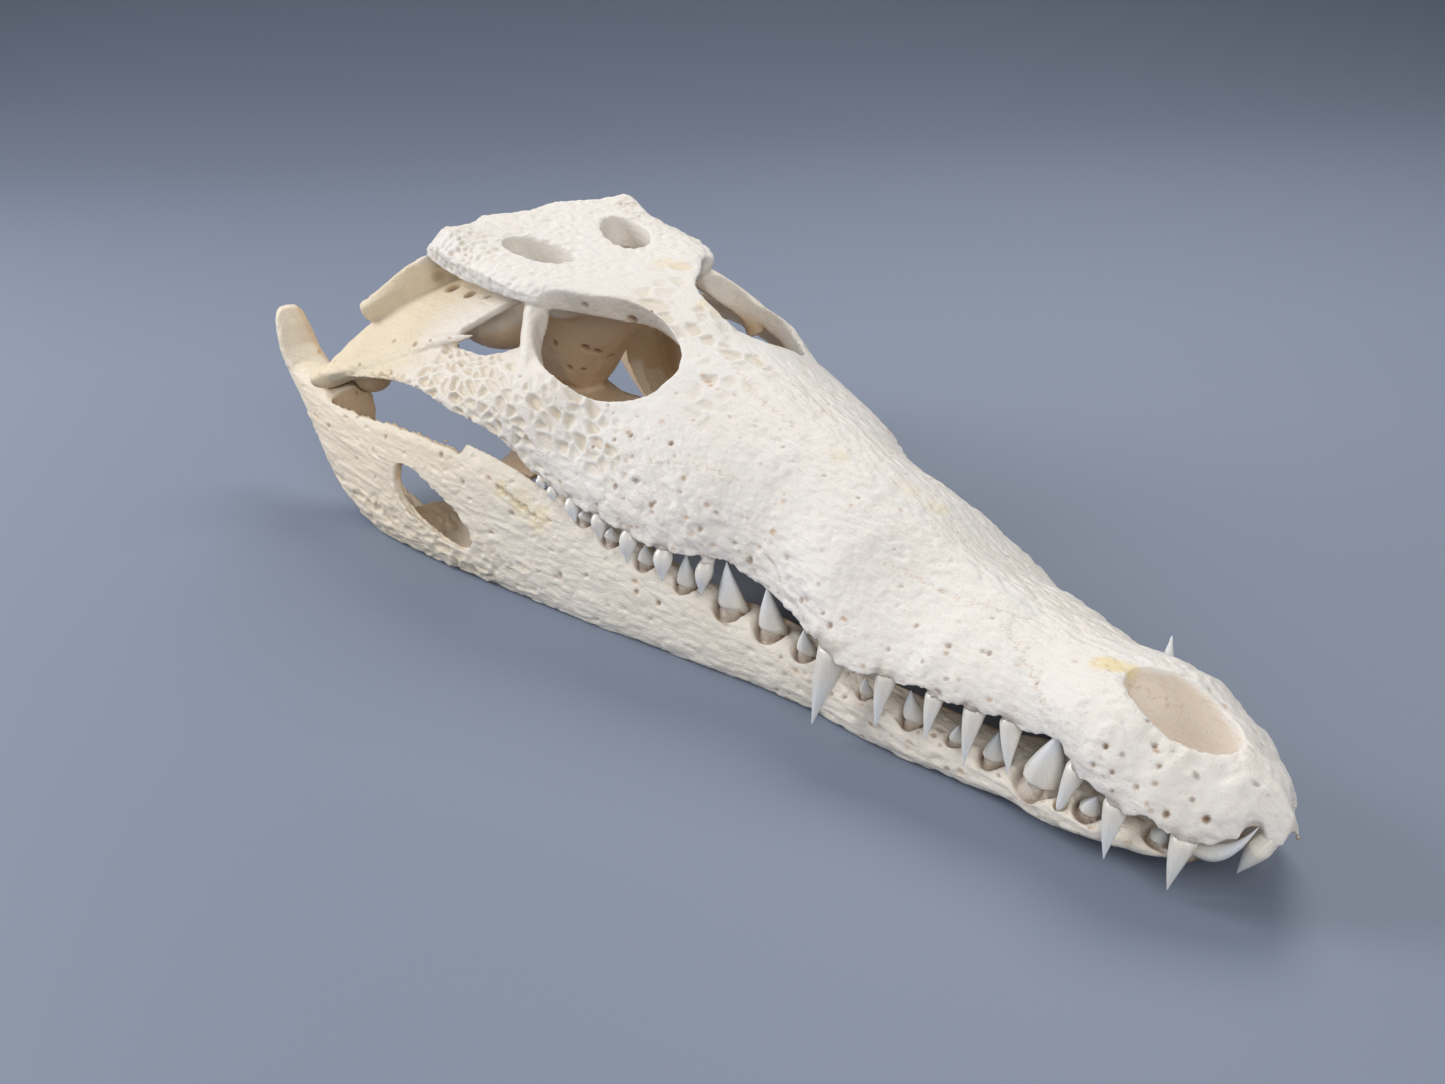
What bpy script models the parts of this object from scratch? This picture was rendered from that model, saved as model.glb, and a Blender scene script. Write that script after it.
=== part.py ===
"""Crocodile skull: a still, life-size model of a cleaned skull with its lower jaw closed.

The skull lies along X, snout to +X, with its left side at +Y and the floor at Z = 0.
Places are written in hundredths of the skull length, measured forward from the back of the
skull table, out from the middle plane and up from the floor.
"""
import random
from math import cos, exp, pi, sin, sqrt

import bmesh
import bpy
from mathutils import Matrix, Vector

# Driving dimensions
SKULL_LENGTH = 0.250        # snout tip to the back of the skull table, metres
UNIT = SKULL_LENGTH / 100   # one hundredth of it
GAP = 0.0003                # clearance between bones that touch, metres
SLIT = GAP / UNIT           # the same in hundredths
MIDDLE_X = 37.5             # middle of the whole length, from the jaw's back tip to the snout tip
SNOUT_TIP = 100.3

# Outer surface of the snout and cheeks
# x, half width at the tooth margin, margin height, ridge height, fullness of the section
DOME = (
    (-13.6, 21.3, 14.0, 16.0, 1.7),
    (-6.0, 20.3, 15.7, 20.2, 1.7),
    (2.0, 19.4, 17.1, 23.5, 1.6),
    (10.0, 19.4, 17.8, 24.9, 1.6),
    (15.0, 18.9, 17.0, 25.2, 1.9),
    (20.0, 18.1, 16.6, 25.5, 2.2),
    (23.5, 17.3, 15.2, 25.7, 2.4),
    (26.6, 16.7, 13.4, 26.0, 2.4),
    (30.0, 16.3, 12.5, 25.8, 1.9),
    (36.0, 15.5, 11.8, 24.3, 1.8),
    (44.0, 13.8, 10.6, 22.1, 1.8),
    (50.0, 10.4, 9.8, 20.4, 1.95),
    (55.0, 9.8, 9.4, 18.9, 2.0),
    (60.0, 10.8, 8.8, 17.2, 2.0),
    (65.2, 11.9, 8.1, 15.2, 1.4),
    (70.0, 9.9, 7.7, 13.9, 1.5),
    (75.0, 8.7, 7.4, 12.7, 2.0),
    (80.3, 7.2, 7.5, 12.05, 2.2),
    (84.0, 6.7, 7.3, 12.15, 2.45),
    (88.0, 7.4, 6.0, 11.95, 2.75),
    (91.5, 7.2, 5.4, 10.95, 2.1),
    (95.6, 5.8, 4.7, 9.95, 1.6),
    (97.8, 3.5, 4.5, 9.05, 2.0),
    (99.3, 1.95, 4.6, 8.1, 1.5),
    (SNOUT_TIP, 0.7, 5.0, 7.2, 1.5),
)
# Arches of the tooth margin over the gaps between teeth: place, height, half length
ARCHES = ((48.2, 1.1, 2.6), (72.3, 0.7, 1.0), (75.6, 0.4, 0.8), (78.9, 0.4, 0.8),
          (84.7, 1.5, 1.3), (89.0, 1.4, 0.9), (93.6, 1.3, 1.0), (98.0, 0.9, 0.7))
PALATE_SEAM = 14.0          # height of the seam between the braincase and the palate
PALATE_VAULT = 0.9          # how far the palate arches above the tooth margin

# Skull table and frontal: x, half width, height on the middle, drop to the rounded edge
TABLE = (
    (-3.0, 10.0, 31.0, 1.4),
    (-1.5, 11.8, 31.2, 1.9),
    (0.5, 12.4, 31.2, 2.2),
    (4.0, 12.3, 30.7, 1.8),
    (8.0, 12.1, 30.1, 1.3),
    (12.0, 11.9, 29.5, 0.9),
    (15.0, 11.6, 29.1, 0.9),
    (17.4, 10.9, 28.8, 1.1),
    (19.0, 9.7, 28.6, 1.1),
    (20.6, 8.2, 28.3, 1.0),
    (22.5, 6.4, 28.0, 0.8),
    (25.0, 5.4, 27.5, 0.6),
    (30.0, 4.9, 26.3, 1.2),
    (33.0, 5.6, 25.2, 2.0),
    (36.0, 5.0, 23.9, 2.0),
    (38.5, 3.0, 22.5, 0.8),
)
TABLE_BASE = 27.6           # height of the seam under the table at x = 0
TABLE_FALL = 0.118          # how much that seam drops for each step forward
EDGE_LIFT_START = 6.0       # forward of here the table's side edge is cut higher than the seam
EDGE_LIFT = 0.12            # by this much for each step
# Notches of the scalloped back edge: place as a share of the half width, depth, half length
BACK_NOTCHES = ((0.0, 1.5, 0.20), (0.70, 2.2, 0.13))
BACK_SLOPE = 3.0            # how far the back corners lean out toward their foot
EVEN_FROM = 23.0            # forward of here the section turns from a flat top to an even arch
EVEN_RUN = 7.0
FOOT_SINK = 0.3             # how fast its foot sinks there, down into the bone between the eyes
# Raised knob on each back corner of the table
KNOB = dict(x=1.4, y=10.8, height=1.1, half_length=2.5, half_width=1.8)

# Openings of the skull
ORBIT = dict(x=26.6, y=8.1, z=24.5, along=8.6, across=6.2, lean=0.49, turn=-0.05, corner=0.2)
UPPER_WINDOW = dict(x=9.6, y=5.1, z=27.0, along=4.6, across=2.4, lean=0.0, turn=-0.30, corner=0.0)
FRONT_PIT = dict(centre=(98.8, 2.3, 5.7), radii=(0.65, 1.0, 1.3))   # for the first lower tooth
NOSTRIL = dict(x=90.4, z=11.1, along=5.1, across=3.05, depth=3.2, pitch=0.16)
PALATE_WINDOW = dict(x=24.0, y=7.3, along=10.5, across=3.7)
CAVITY = dict(x=21.5, z=18.8, along=17.0, across=13.8, height=6.3)

# Outer and inner knob of the jaw joint: centre and radii
CONDYLES = (((-12.6, 20.0, 14.2), (1.7, 2.9, 1.3)), ((-10.6, 16.2, 13.8), (2.4, 2.1, 1.8)))

# Cut between the snout and the bones behind it, a slanted plane
SNOUT_CUT_X = 36.0
SNOUT_CUT_Z = 21.5
SNOUT_CUT_SLOPE = 1.09
# Height of the cut through each bar behind the eye
BAR_CUT_Z = 23.6
BAR_CUT_BACK = 12.0

# Bar behind the eye, from under the table's corner down and out to the cheek
BAR_PATH = ((15.4, 8.4, 27.1), (16.7, 9.7, 25.6), (18.7, 11.3, 24.0), (20.8, 12.8, 22.2),
            (21.9, 13.5, 20.2))
BAR_RADII = (1.4, 1.3, 1.3, 1.4, 1.8)

# Lower jaw, one half: x, outer side, inner side, underside, top, lean of the top inward
JAW = (
    (-25.3, 20.8, 18.6, 16.9, 19.0, 0.0),
    (-24.3, 21.5, 18.2, 15.4, 19.8, 0.0),
    (-22.8, 22.0, 17.9, 13.8, 19.2, 0.0),
    (-21.6, 22.2, 17.8, 12.9, 16.7, 0.1),
    (-20.0, 22.3, 17.6, 11.7, 14.6, 0.2),
    (-17.0, 22.6, 17.3, 9.5, 13.8, 0.5),
    (-13.0, 23.0, 17.0, 5.7, 13.4, 0.9),
    (-8.0, 23.5, 17.0, 1.9, 13.2, 1.5),
    (-2.0, 23.5, 16.6, -0.1, 13.6, 2.2),
    (5.0, 23.0, 16.0, -0.3, 14.4, 2.4),
    (13.0, 21.6, 15.0, -0.3, 14.3, 2.2),
    (20.0, 19.9, 14.0, -0.3, 13.5, 2.1),
    (26.0, 18.3, 13.2, -0.3, 12.2, 1.8),
    (33.0, 16.4, 12.0, -0.3, 9.8, 1.3),
    (40.0, 14.5, 10.3, -0.3, 8.0, 0.9),
    (48.0, 12.4, 8.2, -0.3, 6.9, 0.6),
    (55.0, 10.6, 5.9, -0.3, 5.7, 0.4),
    (60.0, 9.9, 5.0, -0.3, 4.8, 0.3),
    (65.0, 9.4, 4.4, -0.3, 4.1, 0.3),
    (70.0, 8.9, 3.6, -0.2, 4.0, 0.2),
    (75.0, 8.0, 2.4, 0.0, 3.7, 0.2),
    (80.0, 7.4, -0.6, 0.4, 3.8, 0.1),
    (84.5, 7.9, -0.6, 0.9, 4.5, 0.0),
    (88.0, 7.1, -0.6, 1.2, 3.7, 0.0),
    (92.0, 5.9, -0.6, 1.7, 3.5, 0.0),
    (95.0, 4.6, -0.6, 2.3, 3.5, 0.0),
    (96.8, 2.4, -0.6, 2.7, 3.3, 0.0),
)
JAW_WINDOW = dict(x=11.1, z=6.3, along=6.4, height=2.25, tilt=0.29, taper=0.16, fullness=2.6)
# Room for the jaw muscle, open above and inward: x, its floor, top of the low inner wall
JAW_ROOM = (
    (-10.5, 6.4, 8.2),
    (-8.0, 3.8, 4.8),
    (-4.0, 2.0, 2.9),
    (0.0, 1.1, 2.1),
    (5.0, 1.1, 4.0),
    (10.0, 1.6, 5.9),
    (15.0, 2.2, 7.2),
    (20.0, 4.0, 8.2),
    (24.0, 6.6, 9.3),
    (26.5, 9.0, 10.4),
)
ROOM_OUTER_WALL = 1.1
ROOM_INNER_WALL = 1.2
ROOM_TOP = 20.0

# Upper teeth: place along the jaw, drop of the tip, thickness, forward lean for each step down
UPPER_TEETH = (
    (98.9, 2.6, 1.7, -0.50), (95.3, 4.1, 1.9, -0.10), (90.4, 4.2, 1.8, -0.02),
    (86.4, 4.6, 1.7, -0.25), (79.9, 3.9, 1.6, 0.16), (76.8, 4.5, 1.7, -0.02),
    (73.4, 3.7, 1.5, -0.05), (69.0, 4.5, 1.8, -0.07), (63.8, 7.0, 2.8, -0.19),
    (47.0, 3.0, 1.6, -0.07), (43.3, 2.8, 1.6, 0.11), (39.2, 2.8, 1.6, 0.06),
    (35.3, 2.0, 1.4, 0.31), (31.4, 1.9, 1.3, 0.50), (28.7, 1.2, 1.1, 0.44),
    (27.0, 0.9, 1.0, 0.60),
)
UPPER_FLARE = 0.22          # outward lean for each step down
LOST_AHEAD_OF = 98.0        # the left upper teeth before this place are gone
# Lower teeth: place along the jaw, rise of the tip, thickness, forward lean for each step up
LOWER_TEETH = (
    (94.9, 3.0, 1.9, 1.35), (92.7, 1.0, 1.5, 0.62), (87.5, 1.3, 1.6, 0.50),
    (82.9, 4.3, 3.1, 0.36), (77.8, 2.2, 1.8, 0.18), (74.2, 1.3, 1.1, 0.30),
    (69.8, 2.2, 1.7, -0.06), (64.7, 1.4, 1.0, 0.07), (57.4, 1.9, 1.6, 0.0),
    (53.2, 3.8, 2.2, 0.0), (48.7, 4.1, 2.3, 0.0), (43.8, 3.0, 1.6, 0.19),
    (39.0, 1.5, 1.5, 0.10), (34.7, 0.9, 1.4, 0.10), (31.3, 0.7, 1.3, 0.10),
)
LOWER_FLARE = 0.08
FRONT_FLARE = -0.42         # the first pair turn in as they run forward
FRONT_BOW = (1.6, 2.0, -3.2)    # and sag, so that they pass under the snout's margin
FRONT_PLACE = 94.9
FANG_PLACE = 82.9           # the fourth lower tooth, in the notch; the left one is less worn
LEFT_FANG_RISE = 7.6
LEFT_FANG_LEAN = 0.08
TOOTH_ROOT = 1.6            # depth of each root in the bone
ROOT_TURN = 0.25            # how far the root leans in, as a share of the thickness
TOOTH_BOW = (0.0, 0.5, 0.0)
TOOTH_SIDES = 6
# Rings along a tooth: share of the crown, or -1 for the root end, and share of the thickness
TOOTH_PROFILE = ((-1.0, 0.65), (0.0, 1.0), (0.45, 0.82), (1.0, 0.12))
SEED = 11

BONE = (0.86, 0.82, 0.74, 1.0)
BONE_ROUGHNESS = 0.55


def clear_scene():
    for thing in list(bpy.data.objects):
        bpy.data.objects.remove(thing, do_unlink=True)


def new_collection(name):
    group = bpy.data.collections.new(name)
    bpy.context.scene.collection.children.link(group)
    return group


def smooth(rows, x):
    """Every column of a station table at x, on smooth curves through its rows."""
    last = len(rows) - 2
    i = min(max(sum(1 for row in rows if row[0] <= x) - 1, 0), last)
    x0, x1 = rows[i][0], rows[i + 1][0]
    t = min(max((x - x0) / (x1 - x0), 0.0), 1.0)
    values = []
    for k in range(1, len(rows[0])):
        slopes = []
        for j in (i, i + 1):
            before, after = rows[max(j - 1, 0)], rows[min(j + 1, last + 1)]
            slopes.append((after[k] - before[k]) / (after[0] - before[0]) * (x1 - x0))
        y0, y1 = rows[i][k], rows[i + 1][k]
        values.append((2 * t**3 - 3 * t**2 + 1) * y0 + (t**3 - 2 * t**2 + t) * slopes[0]
                      + (3 * t**2 - 2 * t**3) * y1 + (t**3 - t**2) * slopes[1])
    return values


def curve_through(points, count):
    """Points spread along a smooth curve through a few."""
    rows = [(float(i), *p) for i, p in enumerate(points)]
    return [Vector(smooth(rows, (len(rows) - 1) * i / count)) for i in range(count + 1)]


def to_metres(point, side=1):
    return Vector(((point[0] - MIDDLE_X) * UNIT, side * point[1] * UNIT, point[2] * UNIT))


def mesh_object(name, bm):
    """A loose object from a bmesh, its faces turned outward."""
    bmesh.ops.remove_doubles(bm, verts=bm.verts, dist=1e-6)
    bmesh.ops.recalc_face_normals(bm, faces=bm.faces)
    mesh = bpy.data.meshes.new(name)
    bm.to_mesh(mesh)
    bm.free()
    thing = bpy.data.objects.new(name, mesh)
    loose.objects.link(thing)
    return thing


def loft(name, rings, side=1):
    """A closed body through rings of unlike shape, given in hundredths."""
    bm = bmesh.new()
    loops = [[bm.verts.new(to_metres(p, side)) for p in ring] for ring in rings]
    count = len(loops[0])
    for a, b in zip(loops, loops[1:]):
        for i in range(count):
            j = (i + 1) % count
            bm.faces.new((a[i], a[j], b[j], b[i]))
    bm.faces.new(loops[0])
    bm.faces.new(loops[-1])
    return mesh_object(name, bm)


def plate(name, edge_a, edge_b, thickness, bulge=0.0, steps=10, across=5, side=1, grow=0.0):
    """A curved plate between two edges, its outer face crowned and its rims rounded."""
    rings = []
    a_points = curve_through(edge_a, steps)
    b_points = curve_through(edge_b, steps)
    for i, (a, b) in enumerate(zip(a_points, b_points)):
        lo, hi = max(i - 1, 0), min(i + 1, steps)
        along = (a_points[hi] + b_points[hi]) - (a_points[lo] + b_points[lo])
        width = (b - a).normalized()
        normal = width.cross(along).normalized()
        share = i / steps
        thick = thickness[0] * (1 - share) + thickness[1] * share
        upper, lower = [], []
        for j in range(across + 1):
            u = j / across
            rim = sqrt(max(1 - (2 * u - 1) ** 4, 0.16))
            middle = a.lerp(b, u) + width * grow * (2 * u - 1)
            middle = middle + normal * bulge * 4 * u * (1 - u)
            upper.append(middle + normal * (thick * rim / 2 + grow))
            lower.append(middle - normal * (thick * rim / 2 + grow))
        rings.append(upper + lower[::-1])
    return loft(name, rings, side)


def bar(name, path, radii, steps=8, sides=8, side=1):
    """A round bar along a curve, its radius changing from end to end."""
    rings = []
    points = curve_through(path, steps)
    sizes = curve_through([(r, 0, 0) for r in radii], steps)
    for i, centre in enumerate(points):
        along = (points[min(i + 1, steps)] - points[max(i - 1, 0)]).normalized()
        turn = along.to_track_quat('Z', 'Y')
        ring = []
        for k in range(sides):
            angle = 2 * pi * k / sides
            ring.append(centre + turn @ Vector((cos(angle), sin(angle), 0)) * sizes[i].x)
        rings.append(ring)
    return loft(name, rings, side)


def ball(name, centre, radii, turn=Matrix.Identity(4), segments=18, rings=12, side=1):
    """A stretched sphere, in hundredths, turned about its centre."""
    bm = bmesh.new()
    bmesh.ops.create_uvsphere(bm, u_segments=segments, v_segments=rings, radius=1.0)
    for v in bm.verts:
        p = turn @ Vector((v.co.x * radii[0], v.co.y * radii[1], v.co.z * radii[2]))
        v.co = to_metres(Vector(centre) + p, side)
    return mesh_object(name, bm)


def block(name, low, high, slant=0.0, side=1):
    """A box between two corners, its x faces sheared by the slant for each step up."""
    bm = bmesh.new()
    bmesh.ops.create_cube(bm, size=1.0)
    for v in bm.verts:
        p = [low[i] + (high[i] - low[i]) * (v.co[i] + 0.5) for i in range(3)]
        p[0] += slant * p[2]
        v.co = to_metres(p, side)
    return mesh_object(name, bm)


def oval_post(name, hole, low, high, side=1, sides=26):
    """An upright oval cutter, leaning outward, turned in plan, its back inner corner drawn in."""
    bm = bmesh.new()
    bmesh.ops.create_cone(bm, cap_ends=True, segments=sides, radius1=1, radius2=1, depth=1)
    for v in bm.verts:
        level = low if v.co.z < 0 else high
        drawn = hole['corner'] * (2 * min(v.co.x, 0.0) * min(v.co.y, 0.0)) ** 2
        a, b = v.co.x * hole['along'] * (1 - drawn), v.co.y * hole['across'] * (1 - drawn)
        x = hole['x'] + a * cos(hole['turn']) - b * sin(hole['turn'])
        y = hole['y'] + a * sin(hole['turn']) + b * cos(hole['turn'])
        v.co = to_metres((x, y + hole['lean'] * (level - hole['z']), level), side)
    return mesh_object(name, bm)


def joined(target, tools, operation):
    """Apply one Boolean between an object and a set of closed ones, then drop the set."""
    group = new_collection('tools')
    for tool in tools:
        loose.objects.unlink(tool)
        group.objects.link(tool)
    change = target.modifiers.new(operation.lower(), 'BOOLEAN')
    change.operation = operation
    change.operand_type = 'COLLECTION'
    change.collection = group
    change.solver = 'MANIFOLD'
    graph = bpy.context.evaluated_depsgraph_get()
    graph.update()
    mesh = bpy.data.meshes.new_from_object(target.evaluated_get(graph))
    target.modifiers.clear()
    target.data = mesh
    for tool in tools:
        bpy.data.objects.remove(tool, do_unlink=True)
    bpy.data.collections.remove(group)
    return target


def keep_largest(thing):
    """Keep only the largest closed surface of an object."""
    bm = bmesh.new()
    bm.from_mesh(thing.data)
    bmesh.ops.remove_doubles(bm, verts=bm.verts, dist=2e-6)
    bmesh.ops.triangulate(bm, faces=bm.faces)
    unseen, islands = set(bm.verts), []
    while unseen:
        stack, island = [unseen.pop()], []
        while stack:
            v = stack.pop()
            island.append(v)
            for edge in v.link_edges:
                other = edge.other_vert(v)
                if other in unseen:
                    unseen.discard(other)
                    stack.append(other)
        islands.append(island)
    islands.sort(key=len)
    bmesh.ops.delete(bm, geom=[v for island in islands[:-1] for v in island], context='VERTS')
    bm.to_mesh(thing.data)
    bm.free()


def bone_material(name):
    material = bpy.data.materials.new(name)
    material.use_nodes = True
    shader = material.node_tree.nodes['Principled BSDF']
    shader.inputs['Base Color'].default_value = BONE
    shader.inputs['Roughness'].default_value = BONE_ROUGHNESS
    shader.inputs['Metallic'].default_value = 0.0
    return material


def finish(name, pieces, cuts):
    """Fuse the pieces of one bone, cut it, and hand it over as a named part."""
    thing = joined(pieces[0], pieces[1:], 'UNION') if len(pieces) > 1 else pieces[0]
    if cuts:
        thing = joined(thing, cuts, 'DIFFERENCE')
    keep_largest(thing)
    thing.name = name
    thing.data.name = name
    thing.data.materials.clear()
    thing.data.materials.append(bone_material(name))
    thing.data.shade_smooth()
    thing.data.set_sharp_from_angle(angle=0.9)
    loose.objects.unlink(thing)
    skull.objects.link(thing)
    return thing


def dome(x, rise):
    """Half width and height on the outer surface; rise is 0 at the margin, 1 on the ridge."""
    width, margin, top, full = smooth(DOME, x)
    margin += sum(high * exp(-((x - place) / half) ** 2) for place, high, half in ARCHES)
    angle = rise * pi / 2
    return width * cos(angle) ** (2 / full), margin + (top - margin) * sin(angle) ** (2 / full)


def dome_body(name, stations, around, under):
    """The solid snout along some stations, palate and all."""
    rings = []
    for x in stations:
        half = [dome(x, k / around) for k in range(around + 1)]
        ring = [(x, -y, z) for y, z in half] + [(x, y, z) for y, z in half[-2::-1]]
        width, margin = half[0]
        for k in range(1, under + 1):
            y = width * (1 - 2 * k / (under + 1))
            ring.append((x, y, margin + PALATE_VAULT * (1 - (y / width) ** 2)))
        rings.append(ring)
    return loft(name, rings)


def upper_teeth(side):
    """Gum point, tip, thickness and bow of every upper tooth of one side."""
    draw = random.Random(SEED + side)
    row = []
    for x, drop, thickness, lean in UPPER_TEETH:
        width, margin, ridge, full = smooth(DOME, x)
        drop *= draw.uniform(0.97, 1.03)
        gum = Vector((x, width - 0.5 * thickness - 0.1, margin))
        if side < 0 or x < LOST_AHEAD_OF:
            tip = gum + Vector((lean, UPPER_FLARE, -1.0)) * drop
            row.append((gum, tip, thickness, Vector(TOOTH_BOW)))
    return row


def lower_teeth(side):
    """Gum point, tip, thickness and bow of every lower tooth of one side."""
    draw = random.Random(SEED + 2 * side)
    row = []
    for x, rise, thickness, lean in LOWER_TEETH:
        outer, inner, under, top, tilt = smooth(JAW, x)
        if side > 0 and x == FANG_PLACE:
            rise, lean = LEFT_FANG_RISE, LEFT_FANG_LEAN
        first = x == FRONT_PLACE
        flare = FRONT_FLARE if first else LOWER_FLARE
        rise *= draw.uniform(0.97, 1.03)
        gum = Vector((x, outer - tilt - 0.9 - 0.35 * thickness, top - 0.1))
        bow = Vector(FRONT_BOW if first else TOOTH_BOW)
        row.append((gum, gum + Vector((lean, flare, 1.0)) * rise, thickness, bow))
    return row


def tooth(gum, tip, thickness, bow, side, grow=0.0):
    """A pointed crown, bowed outward, on a narrower root that turns in toward the middle."""
    axis = tip - gum
    turn = axis.to_track_quat('Z', 'Y')
    inward = Vector((0.0, -ROOT_TURN * thickness, 0.0))
    rings = []
    for share, size in TOOTH_PROFILE:
        if share < 0:
            centre = gum - axis.normalized() * TOOTH_ROOT + inward
        else:
            centre = gum + axis * share + bow * share * (1 - share)
        if share == 1.0:
            centre = centre + axis.normalized() * grow
        radius = thickness / 2 * size + grow
        ring = []
        for k in range(TOOTH_SIDES):
            angle = 2 * pi * k / TOOTH_SIDES
            ring.append(centre + turn @ Vector((cos(angle), sin(angle), 0)) * radius)
        rings.append(ring)
    return loft('tooth', rings, side)


def pits_for_lower_teeth():
    """Room in the snout for the lower teeth that reach its margin."""
    pits = []
    for side in (-1, 1):
        for gum, tip, thickness, bow in lower_teeth(side):
            if tip.z + 3 * SLIT > dome(tip.x, 0.0)[1]:
                pits.append(tooth(gum, tip, thickness, bow, side, SLIT))
    return pits


def grooves_for_upper_teeth(side):
    """Room in the lower jaw for the upper teeth that pass beside it."""
    grooves = []
    for gum, tip, thickness, bow in upper_teeth(side):
        outer, inner, under, top, lean = smooth(JAW, tip.x)
        if tip.z - 3 * SLIT < top and tip.y - thickness < outer:
            grooves.append(tooth(gum, tip, thickness, bow, side, SLIT))
    return grooves


def orbit_cutters():
    return [oval_post('orbit', ORBIT, 15.0, 34.0, side) for side in (-1, 1)]


def cavity_cutter():
    """The open room between the cheeks, under the roof and over the palate."""
    turn = Matrix.Rotation(0.10, 4, 'Y')
    return ball('cavity', (CAVITY['x'], 0, CAVITY['z']),
                (CAVITY['along'], CAVITY['across'], CAVITY['height']), turn, 24, 14)


def palate_windows():
    hole = dict(PALATE_WINDOW, z=12.0, lean=0.0, turn=-0.04, corner=0.0)
    return [oval_post('palate_window', hole, 5.0, 17.0, side) for side in (-1, 1)]


def ahead_of_snout_cut(offset):
    """A big block that fills everything before the slanted cut."""
    face = SNOUT_CUT_X - SNOUT_CUT_SLOPE * SNOUT_CUT_Z + offset
    return block('ahead', (face, -40, -5), (face + 120, 40, 45), SNOUT_CUT_SLOPE)


def behind_snout_cut(offset):
    face = SNOUT_CUT_X - SNOUT_CUT_SLOPE * SNOUT_CUT_Z + offset
    return block('behind', (face - 120, -40, -5), (face, 40, 45), SNOUT_CUT_SLOPE)


def above_table_seam():
    """Everything over the sloping seam under the skull table."""
    bm = bmesh.new()
    bmesh.ops.create_cube(bm, size=1.0)
    for v in bm.verts:
        x, y = v.co.x * 100, v.co.y * 80
        seam = TABLE_BASE - TABLE_FALL * x - SLIT / 2
        v.co = to_metres((x, y, seam if v.co.z < 0 else 60))
    return mesh_object('above_seam', bm)


def quadrate(side, grow=0.0):
    """The shaft from the ear region down to the jaw joint."""
    front = [(12.0, 8.0, 25.9), (11.0, 10.8, 24.9), (8.2, 13.8, 22.6), (2.2, 17.0, 19.2),
             (-5.0, 19.4, 16.5), (-11.8, 21.6, 14.2)]
    back = [(-2.8, 7.2, 24.6), (-3.4, 9.4, 24.3), (-5.4, 12.2, 23.0), (-8.3, 14.9, 20.8),
            (-10.8, 16.8, 18.4), (-13.2, 18.4, 15.6)]
    return plate('quadrate', front, back, (1.5, 2.7), 0.6, 12, 6, side, grow)


def condyles(side, grow=0.0):
    """The two rounded knobs at the end of the quadrate, which sit on the lower jaw."""
    turn = Matrix.Rotation(-0.22, 4, 'Z')
    return [ball('condyle', centre, [r + grow for r in radii], turn, 12, 7, side)
            for centre, radii in CONDYLES]


def build_snout():
    stations = [22.0 + 3.0 * i for i in range(15)]
    stations += [66.0 + 1.6 * i for i in range(18)]
    stations += [95.2, 96.2, 97.0, 97.7, 98.2, 98.7, 99.2, 99.7, SNOUT_TIP]
    pieces = [dome_body('snout', stations, 9, 3)]
    for side in (-1, 1):
        pieces += [tooth(*shape, side) for shape in upper_teeth(side)]
    naris = ball('naris', (NOSTRIL['x'], 0, NOSTRIL['z']),
                 (NOSTRIL['along'], NOSTRIL['across'], NOSTRIL['depth']),
                 Matrix.Rotation(NOSTRIL['pitch'], 4, 'Y'), 20, 12)
    cuts = [naris, cavity_cutter(), behind_snout_cut(SLIT / 2)]
    cuts += [ball('pit', FRONT_PIT['centre'], FRONT_PIT['radii'], segments=10, rings=6, side=side)
             for side in (-1, 1)]
    cuts += orbit_cutters() + palate_windows()
    cuts += pits_for_lower_teeth()
    finish('snout', pieces, cuts)


def table_body():
    """The skull table and the frontal bone between the eyes."""
    rings = []
    xs = [TABLE[0][0], -2.2, -1.0, 0.3, 1.6, 3.2, 6.0, 10.0, 14.0, 16.5, 18.0, 19.5, 21.5, 24.0,
          27.0, 30.0, 33.0, 36.0, 38.5]
    across = 16
    for x in xs:
        width, top, drop = smooth(TABLE, x)
        back = max(0.0, 1 - (x - TABLE[0][0]) / 5.0)
        even = min(max((x - EVEN_FROM) / EVEN_RUN, 0.0), 1.0)
        upper, lower = [], []
        for k in range(across + 1):
            u = 2 * k / across - 1
            shift = back * sum(deep * exp(-((abs(u) - place) / half) ** 2)
                               for place, deep, half in BACK_NOTCHES)
            foot = x + shift - back * BACK_SLOPE * abs(u) ** 4
            seam = TABLE_BASE - TABLE_FALL * foot + SLIT / 2
            seam += EDGE_LIFT * max(0.0, min(foot, 17.0) - EDGE_LIFT_START) * u ** 6
            seam -= FOOT_SINK * max(0.0, x - EVEN_FROM)
            knob = KNOB['height'] * exp(-((x - KNOB['x']) / KNOB['half_length']) ** 2
                                        - ((abs(width * u) - KNOB['y']) / KNOB['half_width']) ** 2)
            crown = top + knob - drop * ((0.1 + 0.9 * even) * u * u + 0.9 * (1 - even) * u ** 10)
            upper.append((x + shift, width * u, crown))
            lower.append((foot, width * u * 0.98, seam))
        rings.append(upper + lower[::-1])
    return loft('table', rings)


def build_skull_roof():
    pieces = [table_body(), dome_body('brow', [27.5, 30.0, 33.0, 35.5, 38.5, 42.0], 9, 3)]
    pieces += [bar('bar', BAR_PATH, BAR_RADII, 8, 10, side) for side in (-1, 1)]
    low_front = block('low_front', (BAR_CUT_BACK, -40, -5), (60, 40, BAR_CUT_Z + SLIT / 2))
    cuts = [low_front, ahead_of_snout_cut(-SLIT / 2), cavity_cutter()]
    cuts += orbit_cutters()
    cuts += [oval_post('window', UPPER_WINDOW, 22, 34, side) for side in (-1, 1)]
    finish('skull_roof', pieces, cuts)


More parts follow.
